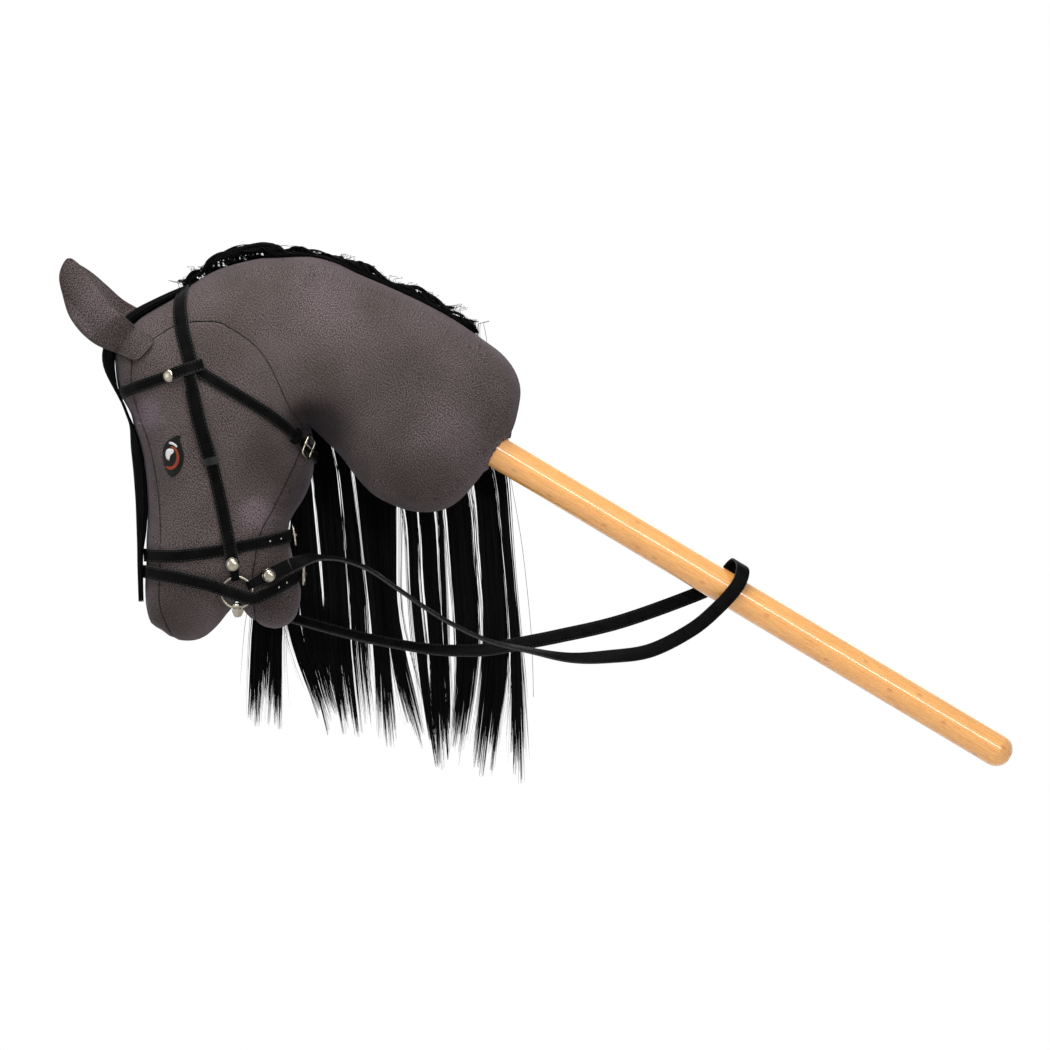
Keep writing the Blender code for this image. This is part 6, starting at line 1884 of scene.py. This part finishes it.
def make_eyes(ground, looks):
    """The embroidered eye in layers: black almond, amber arc and white glints."""
    layers = [("eye", EYE_BLACK, 0.0, 0.8, "eye_black")]
    layers.append(("eye_amber", EYE_AMBER, 0.62, 0.4, "eye_amber"))
    for n, white in enumerate(EYE_WHITES):
        layers.append((f"eye_glint_{n + 1}", white, 0.66, 0.45, "eye_white"))
    for side, word in SIDES:
        for name, outline, lift, thickness, look in layers:
            def height(x, z, side=side, lift=lift):
                return ground.highest_near(x, z, side, 0.3) + GAP * 0.5 + lift
            outline = [pattern(*p) for p in outline]
            points, faces, lie, _ = patch_mesh(outline, 0.9, height, side, thickness, 0.7)
            replaces = [f"eye_{word}"] if name == "eye" else ()
            suffix = "thread" if name == "eye" else "stitched"
            add_piece(f"{name}_{word}_{suffix}", points, faces, looks[look], replaces, lie=lie,
                      flat_angle=0)


def make_stick(wood):
    """The turned stick with its rounded foot."""
    start = math.asin(FOOT_FLAT / 2 / STICK_RADIUS)
    centre = STICK_OUTSIDE - STICK_RADIUS * math.cos(start)
    profile = [(0, -STICK_INSIDE), (STICK_RADIUS - 1.5, -STICK_INSIDE), (STICK_RADIUS, -STICK_INSIDE + 1.5)]
    profile += [(STICK_RADIUS, z) for z in np.linspace(-STICK_INSIDE + 12, centre - 2, 60)]
    for k in range(25):
        angle = math.pi / 2 - (math.pi / 2 - start) * k / 24
        profile.append((STICK_RADIUS * math.sin(angle), centre + STICK_RADIUS * math.cos(angle)))
    profile.append((0, STICK_OUTSIDE))
    points, faces = turned(profile, 72)
    round_it = np.arctan2(points[:, 1], points[:, 0]) % math.tau * STICK_RADIUS
    lie = np.stack([points[:, 2], round_it, np.hypot(points[:, 0], points[:, 1])], axis=1)
    points = points @ frame_round(STICK_DOWN, (0, 1, 0)).T
    add_piece("stick_wood", points, faces, wood, ["stick"], lie=lie, flat_angle=50)


def make_rein(looks):
    """One flat sewn strap from ring to ring, over the top of the stick."""
    route = np.array(REIN_ROUTE) / MM - ENTRY
    stack = np.hstack([route, np.array(REIN_ACROSS, float)])
    fine = even_points(stack, 2.4)
    points, across = fine[:, :3], fine[:, 3:6]
    along = unit(np.gradient(points, axis=0))
    across = unit(across - along * np.sum(along * across, axis=1, keepdims=True))
    out = np.cross(across, along)
    profile = [(a, b - REIN_THICKNESS / 2) for a, b in sewn_profile(REIN_WIDTH, REIN_THICKNESS)]
    corners, faces, lie, edge = band(points, across, out, profile, False)
    made = add_piece("rein_leather", corners, faces, looks["leather"], ["rein"], lie=lie, edge=edge)
    offsets = [(s * (REIN_WIDTH / 2 - STITCH_INSET), 0.34 * REIN_THICKNESS) for s in (-1, 1)]
    stitches = make_stitches("rein_stitches", points, across, out, offsets, False, looks["thread"])
    length = float(distances_along(points)[-1]) * MM
    [tuple(p) for p in (points + ENTRY) * MM]


def ring_room(plane):
    """The space of both bit rings and the loops on them, which the lower strap passes outside."""
    x0, z0 = BIT_RING
    half = RING_RADIUS + RING_ROOM
    reach = plane + LOOP_OUTER + STRAP_GAP
    corners = [(x0 + a * half, b * reach, z0 + c * half) for a in (-1, 1) for b in (-1, 1) for c in (-1, 1)]
    faces = [(0, 1, 3, 2), (4, 6, 7, 5), (0, 4, 5, 1), (2, 3, 7, 6), (0, 2, 6, 4), (1, 5, 7, 3)]
    return corners, faces


def make_cheek_overlap(word, cheek, looks):
    """The upper cheek strap lies doubled, and its cut end is a grey strip across the lower one, a painted
    highlight of the cut end's edge.
    """
    z = cheek["inner"][:, 2]
    doubled = (z > CHEEK_OVERLAP[0]) & (z < CHEEK_OVERLAP[1])
    upper = {key: value[doubled] for key, value in cheek.items()}
    upper["inner"] = upper["inner"] + upper["out"] * (STRAP_THICKNESS + 0.1)
    make_strap(f"cheek_overlap_{word}", upper, STRAP_WIDTH + OVERLAP_WIDER, looks)
    lowest = np.argsort(upper["inner"][:, 2])[:2]
    cut = {key: value[np.sort(lowest)] for key, value in upper.items()}
    cut["inner"] = cut["inner"] + cut["out"] * 0.15
    # The grey strip is a painted highlight along the cut end
    pale_edge = {"leather": looks["pale_edge"]}
    make_strap(f"cheek_cut_edge_{word}", cut, STRAP_WIDTH + CUT_EDGE_WIDER, pale_edge, sewn=False)


def make_bridle(ground, looks):
    """The straps, each laid over those before it, with the bit in place before the flash strap."""
    metal = looks["metal"]

    def finish(node, sections, width=STRAP_WIDTH, closed=False):
        make_strap(node, sections, width, looks, closed, replaces=[node])
        return sections

    finish("crownpiece", lay_strap(ground, there_and_back(CROWN[::-1], CROWN_TOP), CROWN_WIDTH), CROWN_WIDTH)
    stops = there_and_back(NOSEBAND, NOSEBAND_FRONT) + [(*NOSEBAND_BACK, RIDGE)]
    nose = finish("noseband", lay_strap(ground, stops, closed=True), closed=True)
    stops = there_and_back(THROATLATCH, THROATLATCH_UNDER)
    latch = finish("throatlatch", lay_strap(ground, stops, NARROW_STRAP), NARROW_STRAP)
    cheeks = {}
    for side, word in SIDES:
        cheeks[side] = finish(f"cheekpiece_{word}", lay_strap(ground, on_side(CHEEK, side)))
        make_cheek_overlap(word, cheeks[side], looks)
    stops = there_and_back(BROWBAND, BROWBAND_FRONT)
    finish("browband", lay_strap(ground, stops, NARROW_STRAP), NARROW_STRAP)
    plane = cad_joint("bit_ring_right_turn")[0][1]
    make_mouthpiece(plane, metal)
    for side, word in SIDES:
        make_ring(word, metal)
        for strap in ("browband", "cheek", "rein"):
            make_stud(f"{strap}_stud_{word}", side, metal)
        end = cheeks[side]["inner"][-2] + cheeks[side]["out"][-2] * (STRAP_THICKNESS * 2 + 4 * GAP)
        folded_end(f"cheek_end_{word}", CHEEK_ANGLE, side, plane, end, looks)
        ends = REIN_ROUTE[:2] if side == NEAR else REIN_ROUTE[:-3:-1]
        start, following = (np.array(p) / MM - ENTRY for p in ends)
        tail = start - unit(following - start) * 3 * GAP
        folded_end(f"rein_end_{word}", REIN_ANGLE[side], side, plane, tail, looks)
    ground.add(*ring_room(plane))
    flash = finish("flash_strap", lay_taut_loop(ground, FLASH), closed=True)
    for word in ("throatlatch", "noseband", "flash"):
        make_buckle(word, metal)
    make_keeper("throatlatch_keeper", latch, THROAT_KEEPER, NARROW_STRAP, looks)
    make_holes("noseband_holes", nose, NOSE_HOLES, looks["hole"])
    make_holes("flash_holes", flash, FLASH_HOLES, looks["hole"])


def main():
    bpy.context.scene.view_settings.view_transform = "Standard"
    make_camera()
    for lamp in LAMPS:
        make_lamp(*lamp)
    make_stage()
    looks = {
        "cloth": cloth_look(),
        # The same cloth darkened as painted shade, for the jaw gusset and the far ear
        "painted_shade_cloth": cloth_look("grey_cloth_painted_shade", 0.85),
        "leather": leather_look(),
        "seam": thread_look("seam_thread", (0.012, 0.01, 0.01)),
        # Hem thread paler than the cloth: a painted highlight along the ear's edge
        "hem": thread_look("ear_hem_thread_painted_highlight", (0.12, 0.098, 0.095)),
        # Leather made grey as a painted highlight, for the cut end of the doubled cheek strap
        "pale_edge": leather_look("leather_cut_edge_painted_highlight", 0.016),
        "thread": thread_look("strap_thread", (0.05, 0.048, 0.046)),
        "metal": metal_look(),
        # Pale colour of the punched holes: painted light for the bright light seen in them
        "hole": plain_look("hole_painted_light", (0.5, 0.48, 0.45), (0.3, 0.28, 0.26), 900.0, 0.05),
        "hair": hair_look(),
        "eye_black": thread_look("eye_thread_black", (0.004, 0.004, 0.004)),
        "eye_amber": thread_look("eye_thread_amber", (0.33, 0.06, 0.022)),
        "eye_white": thread_look("eye_thread_white", (0.95, 0.95, 0.95)),
    }
    make_rein(looks)
    form = StuffedForm()
    for side, word in SIDES:
        form.panel(f"neck_cover_{word}_cloth", ["neck"], (side,), looks["cloth"], f"neck_cover_{word}")
        form.panel(f"head_cover_{word}_cloth", ["cheek"], (side,), looks["cloth"], f"head_cover_{word}")
    form.panel("face_gusset_cloth", ["face"], (NEAR, FAR), looks["cloth"], "face_gusset")
    # The jaw gusset takes the cloth darkened as painted shade
    form.panel("jaw_gusset_cloth", ["jaw"], (NEAR, FAR), looks["painted_shade_cloth"], "jaw_gusset")
    filling = plain_look("stuffing", (0.8, 0.79, 0.76), (0.55, 0.54, 0.5), 260.0, 0.8)
    form.stuffing("neck_stuffing_fibre", ["neck"], filling, "neck_stuffing")
    form.stuffing("head_stuffing_fibre", ["face", "cheek", "jaw"], filling, "head_stuffing")
    ground = Ground(form.outer, form.all_faces)
    make_collar(ground, looks["cloth"])
    make_seams(ground, looks["seam"])
    make_eyes(ground, looks)
    make_forelock(ground, looks["hair"])
    make_bridle(ground, looks)
    make_ears(ground, looks)
    make_crest(looks["hair"])
    weft = lay_strap(ground, [(x, z - WEFT_DROP, FAR) for x, z in CREST], WEFT_WIDTH)
    make_weft(weft, looks["hair"])
    make_mane(ground, looks["hair"])
    make_stick(wood_look())
    canvas = plain_look("sleeve_canvas", (0.62, 0.58, 0.5), (0.45, 0.42, 0.36), 900.0, 0.3)
    cord = plain_look("tie_cord", (0.68, 0.65, 0.56), (0.5, 0.47, 0.4), 700.0, 0.3)
    for node, look in (("stick_sleeve", canvas), ("neck_tie_cord", cord)):
        for slot in frame["nodes"][node].material_slots:
            slot.material = look


main()
